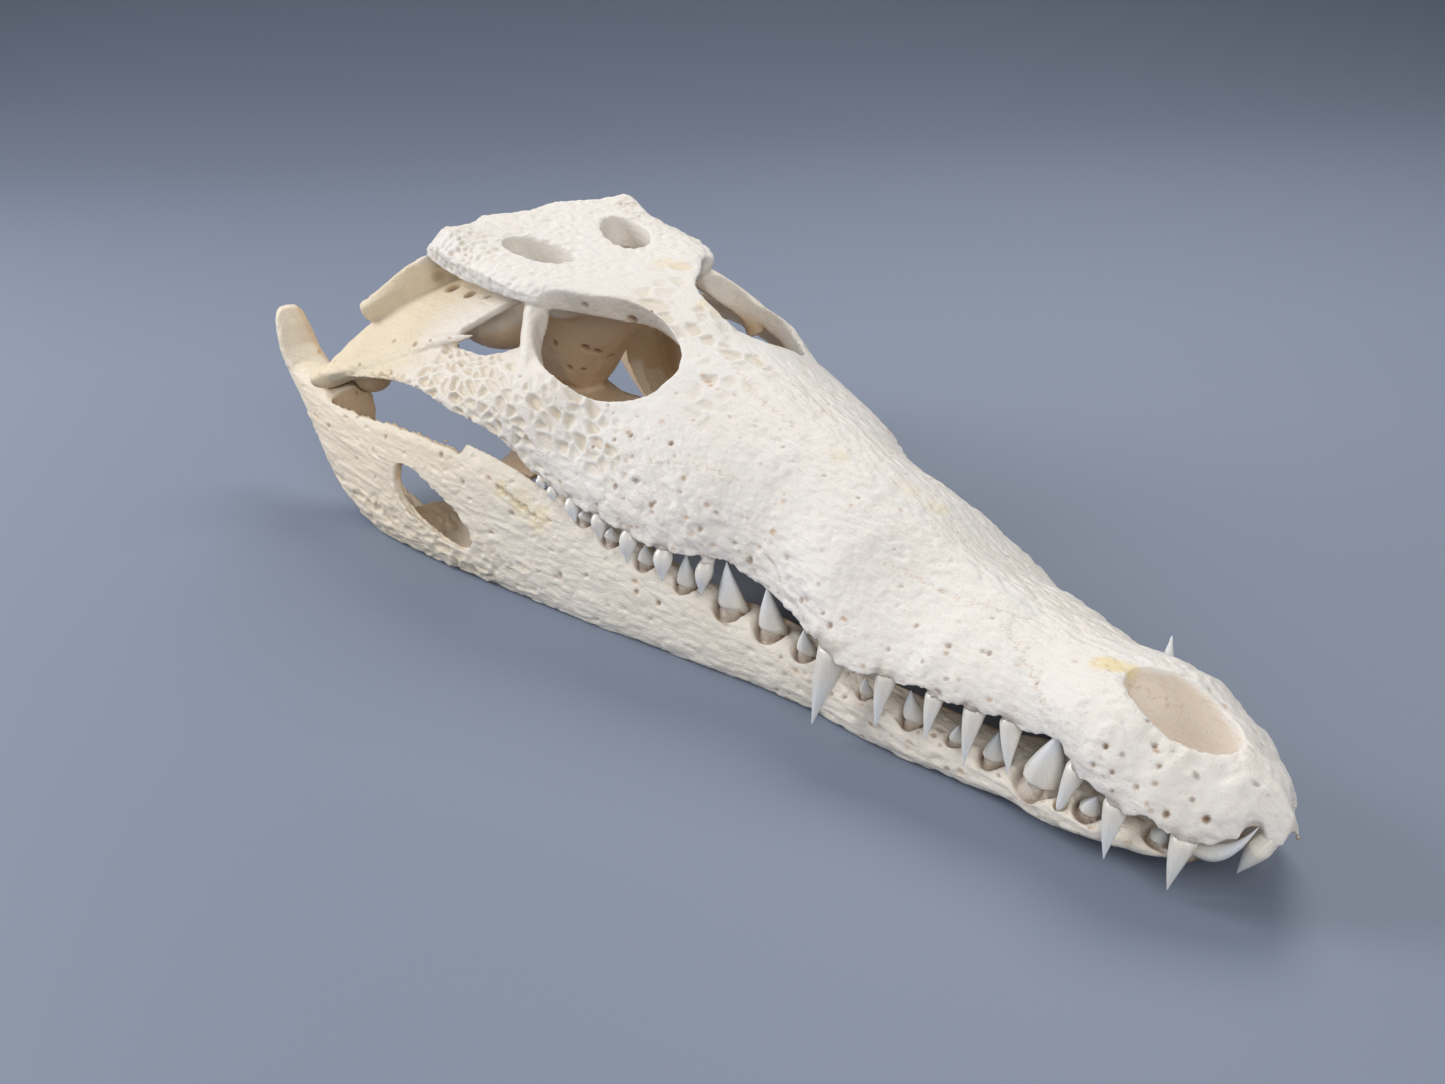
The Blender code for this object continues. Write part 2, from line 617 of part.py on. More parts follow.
def build_braincase():
    rings = []
    body = ((-3.5, 4.0, 17.0, 30.0), (0.0, 5.2, 14.6, 30.0), (5.0, 5.2, 13.6, 29.0),
            (10.0, 4.4, 13.7, 28.5), (12.5, 3.8, 16.8, 28.5), (15.0, 3.2, 19.0, 28.3),
            (18.0, 2.4, 21.5, 27.8), (20.5, 1.5, 23.0, 27.3))
    for i in range(12):
        x = -3.5 + 24.0 * i / 11
        half, low, high = smooth(body, x)
        ring = []
        for k in range(14):
            angle = 2 * pi * k / 14
            flare = 1 + 0.5 * max(0.0, sin(angle)) ** 3
            ring.append((x, half * cos(angle) * flare,
                         (low + high) / 2 + (high - low) / 2 * sin(angle)))
        rings.append(ring)
    pieces = [loft('braincase', rings)]
    for side in (-1, 1):
        top = [(-2.4, -1.0, 28.4), (-3.4, 6.0, 28.4), (-4.6, 11.4, 27.4), (-6.4, 14.2, 25.4),
               (-9.4, 17.0, 22.4)]
        low = [(-2.6, -1.0, 20.0), (-3.4, 6.0, 19.8), (-5.6, 11.4, 20.6), (-7.4, 14.2, 20.6),
               (-8.8, 16.6, 20.6)]
        pieces.append(plate('wing', top, low, (2.4, 1.2), 0.3, 8, 4, side))
        pieces.append(ball('flare', (13.2, 4.2, 25.4), (2.8, 3.2, 2.2), segments=12, rings=8,
                           side=side))
        pieces.append(ball('ear', (2.5, 6.5, 21.6), (6.5, 4.6, 3.3), segments=14, rings=10,
                           side=side))
    pieces.append(ball('neck_knob', (-5.2, 0, 20.4), (2.4, 2.0, 1.8), segments=12, rings=8))
    cord_hole = bar('cord_hole', [(-12, 0, 24.2), (-4, 0, 24.0), (1, 0, 23.6)], (1.7, 1.7, 1.2))
    below = block('below', (-40, -40, -5), (60, 40, PALATE_SEAM + SLIT / 2))
    cuts = [cord_hole, above_table_seam(), below]
    for side in (-1, 1):
        cuts += [quadrate(side, SLIT), oval_post('pit', UPPER_WINDOW, 24.6, 34, side)]
    finish('braincase', pieces, cuts)


def cheek_plate(side, grow=0.0):
    """Jugal and the bone behind it, a band that follows the snout's own surface."""
    rings = []
    steps, across = 21, 5
    tops = ((-10.0, 0.55), (-4.0, 0.50), (4.0, 0.42), (10.0, 0.41), (16.0, 0.45), (19.0, 0.60),
            (28.0, 0.66), (34.0, 0.85), (41.0, 0.90))
    for i in range(steps + 1):
        x = -9.0 + 49.0 * i / steps
        top, = smooth(tops, x)
        thick = 1.5 + 0.5 * exp(-((x - 26) / 10) ** 2)
        upper, lower = [], []
        for k in range(across + 1):
            u = k / across
            y, z = dome(x, top * u)
            y2, z2 = dome(x, top * u + 0.02)
            normal = Vector((0, z2 - z, y - y2)).normalized()
            rim = sqrt(max(1 - (2 * u - 1) ** 4, 0.12))
            upper.append(Vector((x, y, z)) + normal * grow)
            lower.append(Vector((x, y, z)) - normal * (thick * (0.25 + 0.75 * rim) + grow))
        rings.append(upper + lower[::-1])
    return loft('cheek', rings, side)


def build_cheek(side, name):
    pieces = [cheek_plate(side), quadrate(side)] + condyles(side)
    pieces.append(bar('spine', [(1.0, 15.6, 19.8), (6.0, 15.0, 21.3), (10.6, 13.7, 22.8)],
                      (1.0, 0.8, 0.15), 5, 6, side))
    pieces.append(bar('bar_foot', BAR_PATH, BAR_RADII, 8, 10, side))
    high_front = block('high_front', (BAR_CUT_BACK, -40, BAR_CUT_Z - SLIT / 2), (60, 40, 45))
    cuts = [high_front, ahead_of_snout_cut(-SLIT / 2), above_table_seam()]
    cuts += orbit_cutters()
    finish(name, pieces, cuts)


def build_palate():
    """Palatines, the winged pterygoids and the struts out to the cheeks."""
    rings = []
    strip = ((2.0, 3.4, 14.2), (8.0, 3.3, 13.2), (14.0, 3.0, 12.6), (20.0, 2.5, 12.8),
             (28.0, 3.2, 12.6))
    for i in range(12):
        x = 2.0 + 27.0 * i / 11
        half, height = smooth(strip, x)
        rings.append([(x, half * cos(2 * pi * k / 14), height + 0.9 * sin(2 * pi * k / 14))
                      for k in range(14)])
    pieces = [loft('palate', rings)]
    for side in (-1, 1):
        front = [(15.0, 1.5, 12.8), (16.5, 6.3, 11.8), (18.2, 10.0, 10.6), (17.4, 12.2, 9.2)]
        back = [(3.0, 1.5, 13.3), (6.4, 6.0, 10.6), (8.4, 9.6, 8.8), (9.6, 12.2, 8.2)]
        pieces.append(plate('wing', front, back, (1.3, 1.2), 0.3, 8, 4, side))
        pieces.append(bar('strut', [(15.2, 10.8, 10.4), (18.6, 11.5, 13.2), (24.2, 15.4, 16.9)],
                          (1.1, 0.9, 1.1), 6, 8, side))
    middle = block('middle', (-40, -5, PALATE_SEAM - SLIT / 2), (60, 5, 45))
    cuts = [middle, ahead_of_snout_cut(-SLIT / 2)]
    cuts += [cheek_plate(side, SLIT) for side in (-1, 1)]
    finish('palate', pieces, cuts)


def jaw_body(side):
    """One half of the lower jaw, from the back tip to the chin."""
    rings = []
    around = 14
    xs = [-25.3, -24.5, -23.4, -22.2, -21.0, -19.3, -17.0, -15.0, -12.5, -10.0, -7.0, -4.0, -1.0,
          3.0, 8.0, 13.0, 18.0, 23.0, 28.0, 33.0, 38.0, 43.0, 48.0, 53.0, 57.0, 61.0, 65.0, 70.0,
          75.0, 78.0, 80.5, 84.5, 88.0, 91.0, 93.5, 95.2, 96.2, 96.8]
    for x in xs:
        outer, inner, under, top, lean = smooth(JAW, x)
        ring = []
        for k in range(around):
            angle = 2 * pi * (k + 0.5) / around
            c, s = cos(angle), sin(angle)
            across = (outer - inner) / 2 * abs(c) ** 0.72 * (1 if c > 0 else -1)
            up = (top - under) / 2 * abs(s) ** 0.72 * (1 if s > 0 else -1)
            rise = 0.5 + up / (top - under)
            ring.append((x, (outer + inner) / 2 + across - lean * rise, (top + under) / 2 + up))
        rings.append(ring)
    return loft('jaw', rings, side)


def jaw_cutters(side):
    """The side window and the open trough for the jaw muscle."""
    w = JAW_WINDOW
    bm = bmesh.new()
    bmesh.ops.create_cone(bm, cap_ends=True, segments=24, radius1=1, radius2=1, depth=1)
    for v in bm.verts:
        y = 17.6 if v.co.z < 0 else 27.0
        fuller = (abs(v.co.x) ** w['fullness'] + abs(v.co.y) ** w['fullness']) ** (-1 / w['fullness'])
        a, b = v.co.x * fuller, v.co.y * fuller
        x = w['x'] + a * w['along']
        z = w['z'] + b * w['height'] * (1 - w['taper'] * a) - w['tilt'] * a * w['along']
        v.co = to_metres((x, y, z), side)
    window = mesh_object('window', bm)
    rings = []
    for x, floor, lip in JAW_ROOM:
        outer, inner, under, top, lean = smooth(JAW, x)
        far = outer - ROOM_OUTER_WALL - 0.15 * lean
        near = inner + ROOM_INNER_WALL
        ring = [(near, floor + 0.8), (near + 0.8, floor), (far - 0.8, floor), (far, floor + 0.8),
                (outer - ROOM_OUTER_WALL - lean * ROOM_TOP / top, ROOM_TOP), (near - 6, ROOM_TOP),
                (near - 6, lip), (near, lip)]
        rings.append([(x, y, z) for y, z in ring])
    return [window, loft('room', rings, side)]


def build_jaw(side, name):
    pieces = [jaw_body(side)]
    pieces += [tooth(*shape, side) for shape in lower_teeth(side)]
    cuts = jaw_cutters(side)
    cuts += grooves_for_upper_teeth(side)
    cuts += condyles(side, SLIT) + [quadrate(side, SLIT)]
    cuts.append(block('floor', (-40, -40, -5), (130, 40, 0)))
    cuts.append(block('other_side', (-40, -40, -5), (130, SLIT / 2, 45), side=side))
    finish(name, pieces, cuts)


clear_scene()
skull = new_collection('crocodile_skull')
loose = new_collection('loose')
build_snout()
build_skull_roof()
build_braincase()
for this_side, side_name in ((-1, 'right'), (1, 'left')):
    build_cheek(this_side, f'cheek_{side_name}')
    build_jaw(this_side, f'jaw_{side_name}')
build_palate()
bpy.data.collections.remove(loose)
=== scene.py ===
"""Looks of the crocodile skull: pitted, bleached bone with its sutures, sockets and glossy teeth.

Places along the skull are given in hundredths of its length, as in the part's own source:
forward from the back of the skull table, out from the middle plane and up from the floor.
"""
import math
import random

import bmesh
import bpy
import numpy as np
from mathutils import Euler, Matrix, Vector
from mathutils.kdtree import KDTree


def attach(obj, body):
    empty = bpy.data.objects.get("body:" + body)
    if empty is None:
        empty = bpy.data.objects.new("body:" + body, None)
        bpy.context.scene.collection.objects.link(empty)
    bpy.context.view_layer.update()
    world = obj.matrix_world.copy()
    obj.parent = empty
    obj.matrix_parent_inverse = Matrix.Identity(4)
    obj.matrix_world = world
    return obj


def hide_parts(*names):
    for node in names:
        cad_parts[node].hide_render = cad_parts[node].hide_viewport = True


UNIT = 0.0025              # one hundredth of the skull length, metres
MIDDLE_X = 37.5            # middle of the whole length
MM = 0.001

# The photograph's view: image 1445 x 1084, focal length 1700 of its pixels
IMAGE_WIDTH = 1445
FOCAL_PIXELS = 1700
SENSOR = 36.0
CAMERA_PLACE = (0.30375, -0.21125, 0.18)
CAMERA_TURN = (65.887, -2.501, 56.181)   # pitch, roll and heading, degrees

# Mesh of the bones
VOXEL = 0.46 * MM
SWELL = 0.22 * MM          # closes the clearance between bones before they are fused
JAW_SWELL = 0.40 * MM      # keeps the thin rims of the jaws whole
SMOOTH_STEPS = 12
CELLS = 32                 # cells of a pattern before it repeats, each way
LINE_STEP = 0.16           # distance between the marks that make a thin line

# Outer surface of the snout and cheeks, as in the part's source
# x, half width at the tooth margin, margin height, ridge height, fullness of the section
DOME = (
    (-13.6, 21.3, 14.0, 16.0, 1.7), (-6.0, 20.3, 15.7, 20.2, 1.7), (2.0, 19.4, 17.1, 23.5, 1.6),
    (10.0, 19.4, 17.8, 24.9, 1.6), (15.0, 18.9, 17.0, 25.2, 1.9), (20.0, 18.1, 16.6, 25.5, 2.2),
    (23.5, 17.3, 15.2, 25.7, 2.4), (26.6, 16.7, 13.4, 26.0, 2.4), (30.0, 16.3, 12.5, 25.8, 1.9),
    (36.0, 15.5, 11.8, 24.3, 1.8), (44.0, 13.8, 10.6, 22.1, 1.8), (50.0, 10.4, 9.8, 20.4, 1.95),
    (55.0, 9.8, 9.4, 18.9, 2.0), (60.0, 10.8, 8.8, 17.2, 2.0), (65.2, 11.9, 8.1, 15.2, 1.4),
    (70.0, 9.9, 7.7, 13.9, 1.5), (75.0, 8.7, 7.4, 12.7, 2.0), (80.3, 7.2, 7.5, 12.05, 2.2),
    (84.0, 6.7, 7.3, 12.15, 2.45), (88.0, 7.4, 6.0, 11.95, 2.75), (91.5, 7.2, 5.4, 10.95, 2.1),
    (95.6, 5.8, 4.7, 9.95, 1.6), (97.8, 3.5, 4.5, 9.05, 2.0), (99.3, 1.95, 4.6, 8.1, 1.5),
    (100.3, 0.7, 5.0, 7.2, 1.5),
)
# Lower jaw, one half: x, outer side, inner side, underside, top, lean of the top inward
JAW = (
    (13.0, 21.6, 15.0, -0.3, 14.3, 2.2), (20.0, 19.9, 14.0, -0.3, 13.5, 2.1),
    (26.0, 18.3, 13.2, -0.3, 12.2, 1.8), (33.0, 16.4, 12.0, -0.3, 9.8, 1.3),
    (40.0, 14.5, 10.3, -0.3, 8.0, 0.9), (48.0, 12.4, 8.2, -0.3, 6.9, 0.6),
    (55.0, 10.6, 5.9, -0.3, 5.7, 0.4), (60.0, 9.9, 5.0, -0.3, 4.8, 0.3),
    (65.0, 9.4, 4.4, -0.3, 4.1, 0.3), (70.0, 8.9, 3.6, -0.2, 4.0, 0.2),
    (75.0, 8.0, 2.4, 0.0, 3.7, 0.2), (80.0, 7.4, -0.6, 0.4, 3.8, 0.1),
    (84.5, 7.9, -0.6, 0.9, 4.5, 0.0), (88.0, 7.1, -0.6, 1.2, 3.7, 0.0),
    (92.0, 5.9, -0.6, 1.7, 3.5, 0.0), (95.0, 4.6, -0.6, 2.3, 3.5, 0.0),
    (96.8, 2.4, -0.6, 2.7, 3.3, 0.0),
)
JAW_FULL = 0.72            # power that makes the jaw's section fuller than an ellipse
# Plates that close thin places of the solids, each with its thickness in mm
BROW_SPAN = (37.6, 2.6, 0.80, 0.16)      # middle and half length, middle and half rise
BROW_THICK = 1.5
RIM_SPAN = (14.6, 28.6, 12.0, 66.0)      # first and last place, low and high angle of the section
RIM_THICK = 1.4
# Upper teeth: place along the jaw, drop of the tip, thickness, forward lean for each step down
UPPER_TEETH = (
    (98.9, 2.6, 1.7, -0.50), (95.3, 4.1, 1.9, -0.10), (90.4, 4.2, 1.8, -0.02),
    (86.4, 4.6, 1.7, -0.25), (79.9, 3.9, 1.6, 0.16), (76.8, 4.5, 1.7, -0.02),
    (73.4, 3.7, 1.5, -0.05), (69.0, 4.5, 1.8, -0.07), (63.8, 7.0, 2.8, -0.19),
    (47.0, 3.0, 1.6, -0.07), (43.3, 2.8, 1.6, 0.11), (39.2, 2.8, 1.6, 0.06),
    (35.3, 2.0, 1.4, 0.31), (31.4, 1.9, 1.3, 0.50), (28.7, 1.2, 1.1, 0.44),
    (27.0, 0.9, 1.0, 0.60),
)
UPPER_FLARE = 0.22
LOST_AHEAD_OF = 98.0       # the left upper teeth before this place are gone
# Lower teeth: place along the jaw, rise of the tip, thickness, forward lean for each step up
LOWER_TEETH = (
    (94.9, 3.0, 1.9, 1.35), (92.7, 1.0, 1.5, 0.62), (87.5, 1.3, 1.6, 0.50),
    (82.9, 4.3, 3.1, 0.36), (77.8, 2.2, 1.8, 0.18), (74.2, 1.3, 1.1, 0.30),
    (69.8, 2.2, 1.7, -0.06), (64.7, 1.4, 1.0, 0.07), (57.4, 1.9, 1.6, 0.0),
    (53.2, 3.8, 2.2, 0.0), (48.7, 4.1, 2.3, 0.0), (43.8, 3.0, 1.6, 0.19),
    (39.0, 1.5, 1.5, 0.10), (34.7, 0.9, 1.4, 0.10), (31.3, 0.7, 1.3, 0.10),
)
LOWER_FLARE = 0.08
FRONT_PLACE = 94.9         # the first lower pair curve forward under the snout's margin
FRONT_FLARE = -0.42
FRONT_BOW = (1.6, 2.0, -3.2)
TOOTH_BOW = (0.0, 0.5, 0.0)
FANG_PLACE = 82.9
LEFT_FANG_RISE = 7.6
LEFT_FANG_LEAN = 0.08
TOOTH_SEED = 11
ROOT_LENGTH = 1.6          # how far a tooth runs on into its socket
ROOT_TURN = 0.45           # how far the root leans in, as a share of the thickness
LEAF_BEHIND = 50.0         # the upper teeth behind here are leaf shaped

# Places of the two slanted cuts and the seams between the pieces
SNOUT_CUT = (36.0, 21.5, 1.09)      # x, z and slope of the cut behind the snout
PREMAXILLA_CUT = (75.3, 12.4, -2.6)
TABLE_SEAM = (27.6, 0.118)          # height at x = 0 and fall for each step forward
CHEEK_SEAM = 10.6
PALATE_SEAM = 14.0
JAW_CUT = (24.5, 7.0, 0.5)          # border of the tooth-bearing bone of the lower jaw

# Sutures seen as thin tan lines, right side
SUTURES = (
    ((75.0, -2.7, 12.4), (78.8, -4.2, 11.5), (81.9, -5.5, 10.5), (83.9, -6.7, 8.9)),
    ((64.5, -4.6, 14.4), (70.5, -3.2, 13.0), (73.5, -1.8, 12.9), (75.8, -0.8, 12.5)),
    ((36.5, -13.0, 17.6), (40.7, -11.5, 17.7), (44.3, -9.6, 18.1), (48.2, -8.2, 17.5)),
    ((37.0, -1.1, 23.9), (43.2, -2.3, 22.0), (48.5, -2.0, 20.6)),
    ((88.3, 2.1, 9.4), (85.4, 0.0, 11.0)),
)
# Holes for vessels and other spots, with painted shade darkening their floors, right side: x, y, z,
# radius, depth in mm, darkness
HOLES = (
    (-0.6, -10.0, 24.7, 0.95, 1.6, 0.8), (3.4, -10.0, 24.8, 0.85, 1.4, 0.8),
    (-3.4, -10.4, 25.3, 0.8, 0.6, 0.35), (6.9, -9.8, 25.3, 0.5, 0.9, 0.6),
    (20.7, -6.5, 26.6, 0.4, 0.5, 0.6), (23.7, -3.2, 25.1, 0.6, 0.9, 0.8),
    (13.4, -2.8, 19.8, 0.5, 0.8, 0.8), (14.4, -1.9, 19.4, 0.5, 0.8, 0.8),
    (14.4, -0.3, 18.7, 0.45, 0.7, 0.7), (9.8, -4.2, 19.8, 0.4, 0.6, 0.7),
    (10.5, -3.1, 17.0, 0.4, 0.6, 0.7), (11.7, -2.2, 16.9, 0.35, 0.5, 0.7),
    (89.1, -6.4, 9.7, 0.36, 0.9, 1.0), (91.5, -4.1, 10.1, 0.34, 0.8, 0.8),
    (88.7, -7.2, 8.4, 0.30, 0.6, 0.8), (90.2, -6.9, 8.3, 0.30, 0.6, 0.8),
    (92.6, -4.8, 9.3, 0.30, 0.6, 0.7), (94.9, 3.3, 8.9, 0.34, 0.6, 0.7),
    (92.0, -6.4, 7.9, 0.34, 0.7, 0.8), (90.5, -7.2, 7.1, 0.30, 0.6, 0.8),
    (96.4, -4.2, 6.6, 0.42, 1.0, 1.0), (94.2, -5.6, 6.6, 0.42, 0.9, 0.9),
    (95.4, -4.6, 7.9, 0.28, 0.5, 0.7), (93.2, -5.8, 8.6, 0.26, 0.5, 0.7),
    (40.6, -10.4, 19.6, 0.42, 0.7, 0.8), (36.4, -11.8, 19.2, 0.38, 0.6, 0.8),
    (33.2, -13.6, 17.4, 0.34, 0.5, 0.7), (35.1, -12.6, 18.6, 0.30, 0.5, 0.7),
    (76.1, -5.2, 11.2, 0.36, 0.5, 0.7), (73.0, -6.4, 10.9, 0.42, 0.5, 0.6),
    (81.0, -5.0, 10.7, 0.26, 0.4, 0.6), (69.5, -6.8, 11.6, 0.30, 0.4, 0.6),
    (37.4, -14.3, 15.2, 0.46, 0.6, 0.7), (41.8, -13.4, 14.5, 0.46, 0.6, 0.7),
    (46.9, -11.7, 13.4, 0.44, 0.6, 0.6), (51.6, -9.8, 11.7, 0.44, 0.6, 0.6),
    (59.1, -10.2, 10.9, 0.44, 0.6, 0.6), (63.5, -10.6, 10.5, 0.44, 0.6, 0.7),
    (-1.9, -16.8, 20.0, 0.30, 0.4, 0.5), (2.5, -16.5, 20.5, 0.34, 0.5, 0.5),
    (-11.6, -19.9, 16.1, 0.30, 0.4, 0.4), (1.1, -19.0, 17.8, 0.34, 0.5, 0.5),
    (-5.3, -19.6, 17.1, 0.26, 0.4, 0.5),
)
# Holes of the right lower jaw, the same way
JAW_HOLES = (
    (2.2, -20.9, 11.4, 0.34, 0.5, 0.5), (12.1, -19.4, 12.0, 0.40, 0.6, 0.6),
    (16.1, -19.1, 10.2, 0.34, 0.5, 0.5), (1.1, -22.5, 4.2, 0.34, 0.5, 0.5),
    (41.9, -13.4, 5.1, 0.44, 0.7, 0.8), (39.4, -14.0, 5.4, 0.40, 0.6, 0.7),
    (29.9, -16.6, 4.4, 0.40, 0.6, 0.6),
)
SMALL_HOLES_FROM = 30.0    # the holes of the snout and cheek are drawn smaller
SMALL_HOLE_SCALE = 0.72
# Rusty and cream spots, right side: x, y, z, radius, strength
RUST = (
    (37.2, -4.2, 23.1, 0.34, 0.9), (38.0, -4.3, 22.9, 0.40, 0.8), (38.7, -4.4, 22.7, 0.30, 0.9),
    (41.2, -3.6, 22.3, 0.22, 0.7), (38.2, -9.5, 20.4, 0.30, 0.6), (39.0, 1.0, 23.2, 0.22, 0.6),
    (95.8, 1.6, 8.9, 0.40, 0.7), (95.2, 2.2, 9.0, 0.40, 0.7), (96.4, 1.0, 8.7, 0.3, 0.6),
    (58.0, -4.0, 17.2, 0.24, 0.6), (63.8, -5.2, 14.4, 0.22, 0.6), (52.6, -6.9, 16.6, 0.30, 0.5),
)
YELLOW = (
    (83.4, -0.9, 12.2, 1.1, 1.0), (84.4, -0.5, 12.2, 1.0, 1.0), (85.3, 0.0, 12.0, 0.9, 0.9),
    (18.9, 4.0, 28.6, 1.3, 0.5), (20.2, 4.9, 28.4, 1.2, 0.5), (28.0, 2.2, 26.7, 0.9, 0.5),
    (29.6, 2.8, 26.1, 0.9, 0.5), (31.8, 3.6, 25.2, 0.9, 0.5), (35.1, 5.7, 23.3, 0.9, 0.5),
    (21.1, -17.6, 10.6, 1.0, 0.6), (24.0, -17.1, 9.8, 1.6, 0.5), (26.8, -16.5, 9.0, 1.6, 0.5),
    (58.6, 1.6, 17.2, 1.3, 0.35), (61.5, 2.4, 16.4, 1.2, 0.35), (53.0, -1.2, 19.4, 1.2, 0.25),
)
# A split between two bones of the right lower jaw, its groove painted dark as shade
JAW_SLIT = ((20.6, -17.7, 10.8), (24.0, -17.1, 9.8), (26.6, -16.6, 9.0))


def skull_point(x, y, z):
    return np.array([(x - MIDDLE_X) * UNIT, y * UNIT, z * UNIT])


def smooth(rows, x):
    """Every column of a station table at x, on smooth curves through its rows."""
    last = len(rows) - 2
    i = min(max(sum(1 for row in rows if row[0] <= x) - 1, 0), last)
    x0, x1 = rows[i][0], rows[i + 1][0]
    t = min(max((x - x0) / (x1 - x0), 0.0), 1.0)
    values = []
    for k in range(1, len(rows[0])):
        slopes = []
        for j in (i, i + 1):
            before, after = rows[max(j - 1, 0)], rows[min(j + 1, last + 1)]
            slopes.append((after[k] - before[k]) / (after[0] - before[0]) * (x1 - x0))
        y0, y1 = rows[i][k], rows[i + 1][k]
        values.append((2 * t**3 - 3 * t**2 + 1) * y0 + (t**3 - 2 * t**2 + t) * slopes[0]
                      + (3 * t**2 - 2 * t**3) * y1 + (t**3 - t**2) * slopes[1])
    return values


def dome_point(x, rise, side):
    """A point of the outer surface; rise is 0 at the tooth margin and 1 on the ridge."""
    width, margin, top, full = smooth(DOME, x)
    angle = rise * math.pi / 2
    y = width * math.cos(angle) ** (2 / full)
    z = margin + (top - margin) * math.sin(angle) ** (2 / full)
    return Vector(skull_point(x, side * y, z))


# Meshes held as arrays

class Shell:
    """A closed mesh whose surface is worked on as arrays, in metres."""

    def __init__(self, thing):
        self.thing = thing
        mesh = thing.data
        self.count = len(mesh.vertices)
        self.points = np.empty(self.count * 3)
        mesh.vertices.foreach_get("co", self.points)
        self.points = self.points.reshape(-1, 3)
        self.edges = np.empty(len(mesh.edges) * 2, int)
        mesh.edges.foreach_get("vertices", self.edges)
        self.edges = self.edges.reshape(-1, 2)
        self.degree = np.bincount(self.edges.ravel(), minlength=self.count).astype(float)
        self.masks = {name: np.zeros(self.count)
                      for name in ("skin", "cream_and_shade", "pit_shade", "inner", "deep_shade", "rust", "yellow")}
        self.refresh()

    def refresh(self):
        """Writes the points to the mesh and reads its normals and skull coordinates."""
        mesh = self.thing.data
        mesh.vertices.foreach_set("co", self.points.ravel())
        mesh.update()
        normals = np.empty(self.count * 3)
        mesh.vertex_normals.foreach_get("vector", normals)
        self.normals = normals.reshape(-1, 3)
        self.x = self.points[:, 0] / UNIT + MIDDLE_X
        self.y = self.points[:, 1] / UNIT
        self.z = self.points[:, 2] / UNIT
        self.out = np.abs(self.y)
        self.places = np.stack([self.x, self.y, self.z], axis=1)

    def averaged(self, values):
        """The mean of each point's neighbours, for one value a point."""
        a, b = self.edges[:, 0], self.edges[:, 1]
        total = np.bincount(a, weights=values[b], minlength=self.count)
        total += np.bincount(b, weights=values[a], minlength=self.count)
        return total / self.degree

    def blurred(self, values, steps):
        for _ in range(steps):
            values = 0.4 * values + 0.6 * self.averaged(values)
        return values

    def smoothed(self, steps):
        """The points smoothed without much shrinking: twice the blur less its own blur."""
        columns = []
        for k in range(3):
            once = self.blurred(self.points[:, k], steps)
            columns.append(once + self.blurred(self.points[:, k] - once, steps))
        return np.stack(columns, axis=1)

    def settle(self, swell):
        """Smooths the fused body and takes the swelling back."""
        self.points = self.smoothed(SMOOTH_STEPS)
        self.refresh()
        self.points -= self.normals * swell
        self.refresh()
        self.tree = KDTree(self.count)
        for i, point in enumerate(self.points):
            self.tree.insert(point, i)
        self.tree.balance()

    def near(self, point, radius):
        found = self.tree.find_range(point, radius)
        return np.array([i for _, i, _ in found], int)

    def paint(self, name, close, strength):
        mask = self.masks[name]
        mask[close] = np.maximum(mask[close], strength)

    def spots(self, name, rows):
        """Soft round marks at given places."""
        for x, y, z, radius, strength in rows:
            centre = skull_point(x, y, z)
            close = self.near(centre, radius * UNIT * 1.3)
            if len(close):
                away = np.linalg.norm(self.points[close] - centre, axis=1) / (radius * UNIT)
                self.paint(name, close, strength * (1 - step(0.35, 1.3, away)))

    def line(self, name, path, width, strength, seed, wander=0.15):
        """A thin wandering line along a path; gives how deep it lies, 0 to 1."""
        groove = np.zeros(self.count)
        rng = np.random.default_rng(seed)
        for a, b in zip(path, path[1:]):
            a, b = np.array(a), np.array(b)
            count = int(np.linalg.norm(b - a) / LINE_STEP) + 1
            for i in range(count):
                spot = a + (b - a) * i / count
                spot = spot + wander * (np.sin(i * 0.75 + seed) + rng.normal(0, 0.33, 3))
                centre = self.tree.find(skull_point(*spot))[0]
                close = self.near(centre, width * UNIT * 1.6)
                away = np.linalg.norm(self.points[close] - np.array(centre), axis=1) / (width * UNIT)
                deep = 1 - step(0.3, 1.5, away)
                groove[close] = np.maximum(groove[close], deep)
        self.masks[name] = np.maximum(self.masks[name], groove * strength)
        return groove


def link(thing):
    bpy.context.scene.collection.objects.link(thing)
    return thing


def thicken(bm, grid, thickness, swell):
    """Turns a grid's outside up and gives it a thickness inward, swelled like the bones."""
    faces = list({f for v in grid for f in v.link_faces})
    bmesh.ops.recalc_face_normals(bm, faces=faces)
    if sum(f.normal.z for f in faces) < 0:
        bmesh.ops.reverse_faces(bm, faces=faces)
    bm.normal_update()
    for v in grid:
        v.co += v.normal * swell
    bmesh.ops.solidify(bm, geom=faces, thickness=thickness * MM)


def brow_patch(bm, side):
    """A curved plate in the bone's own surface that closes the corner before the eye socket."""
    middle, half, rise, half_rise = BROW_SPAN
    grid = bmesh.ops.create_grid(bm, x_segments=10, y_segments=8, size=1.0)["verts"]
    for v in grid:
        v.co = dome_point(middle + v.co.x * half, rise + v.co.y * half_rise, side)
    thicken(bm, grid, BROW_THICK, SWELL)


def jaw_point(x, angle, side):
    """A point of the lower jaw's outer surface; angle is 0 at its side and 90 on top."""
    outer, inner, under, top, lean = smooth(JAW, x)
    across = (outer - inner) / 2 * math.cos(angle) ** JAW_FULL
    up = (top - under) / 2 * math.sin(angle) ** JAW_FULL
    y = (outer + inner) / 2 + across - lean * (0.5 + up / (top - under))
    return Vector(skull_point(x, side * y, (top + under) / 2 + up))


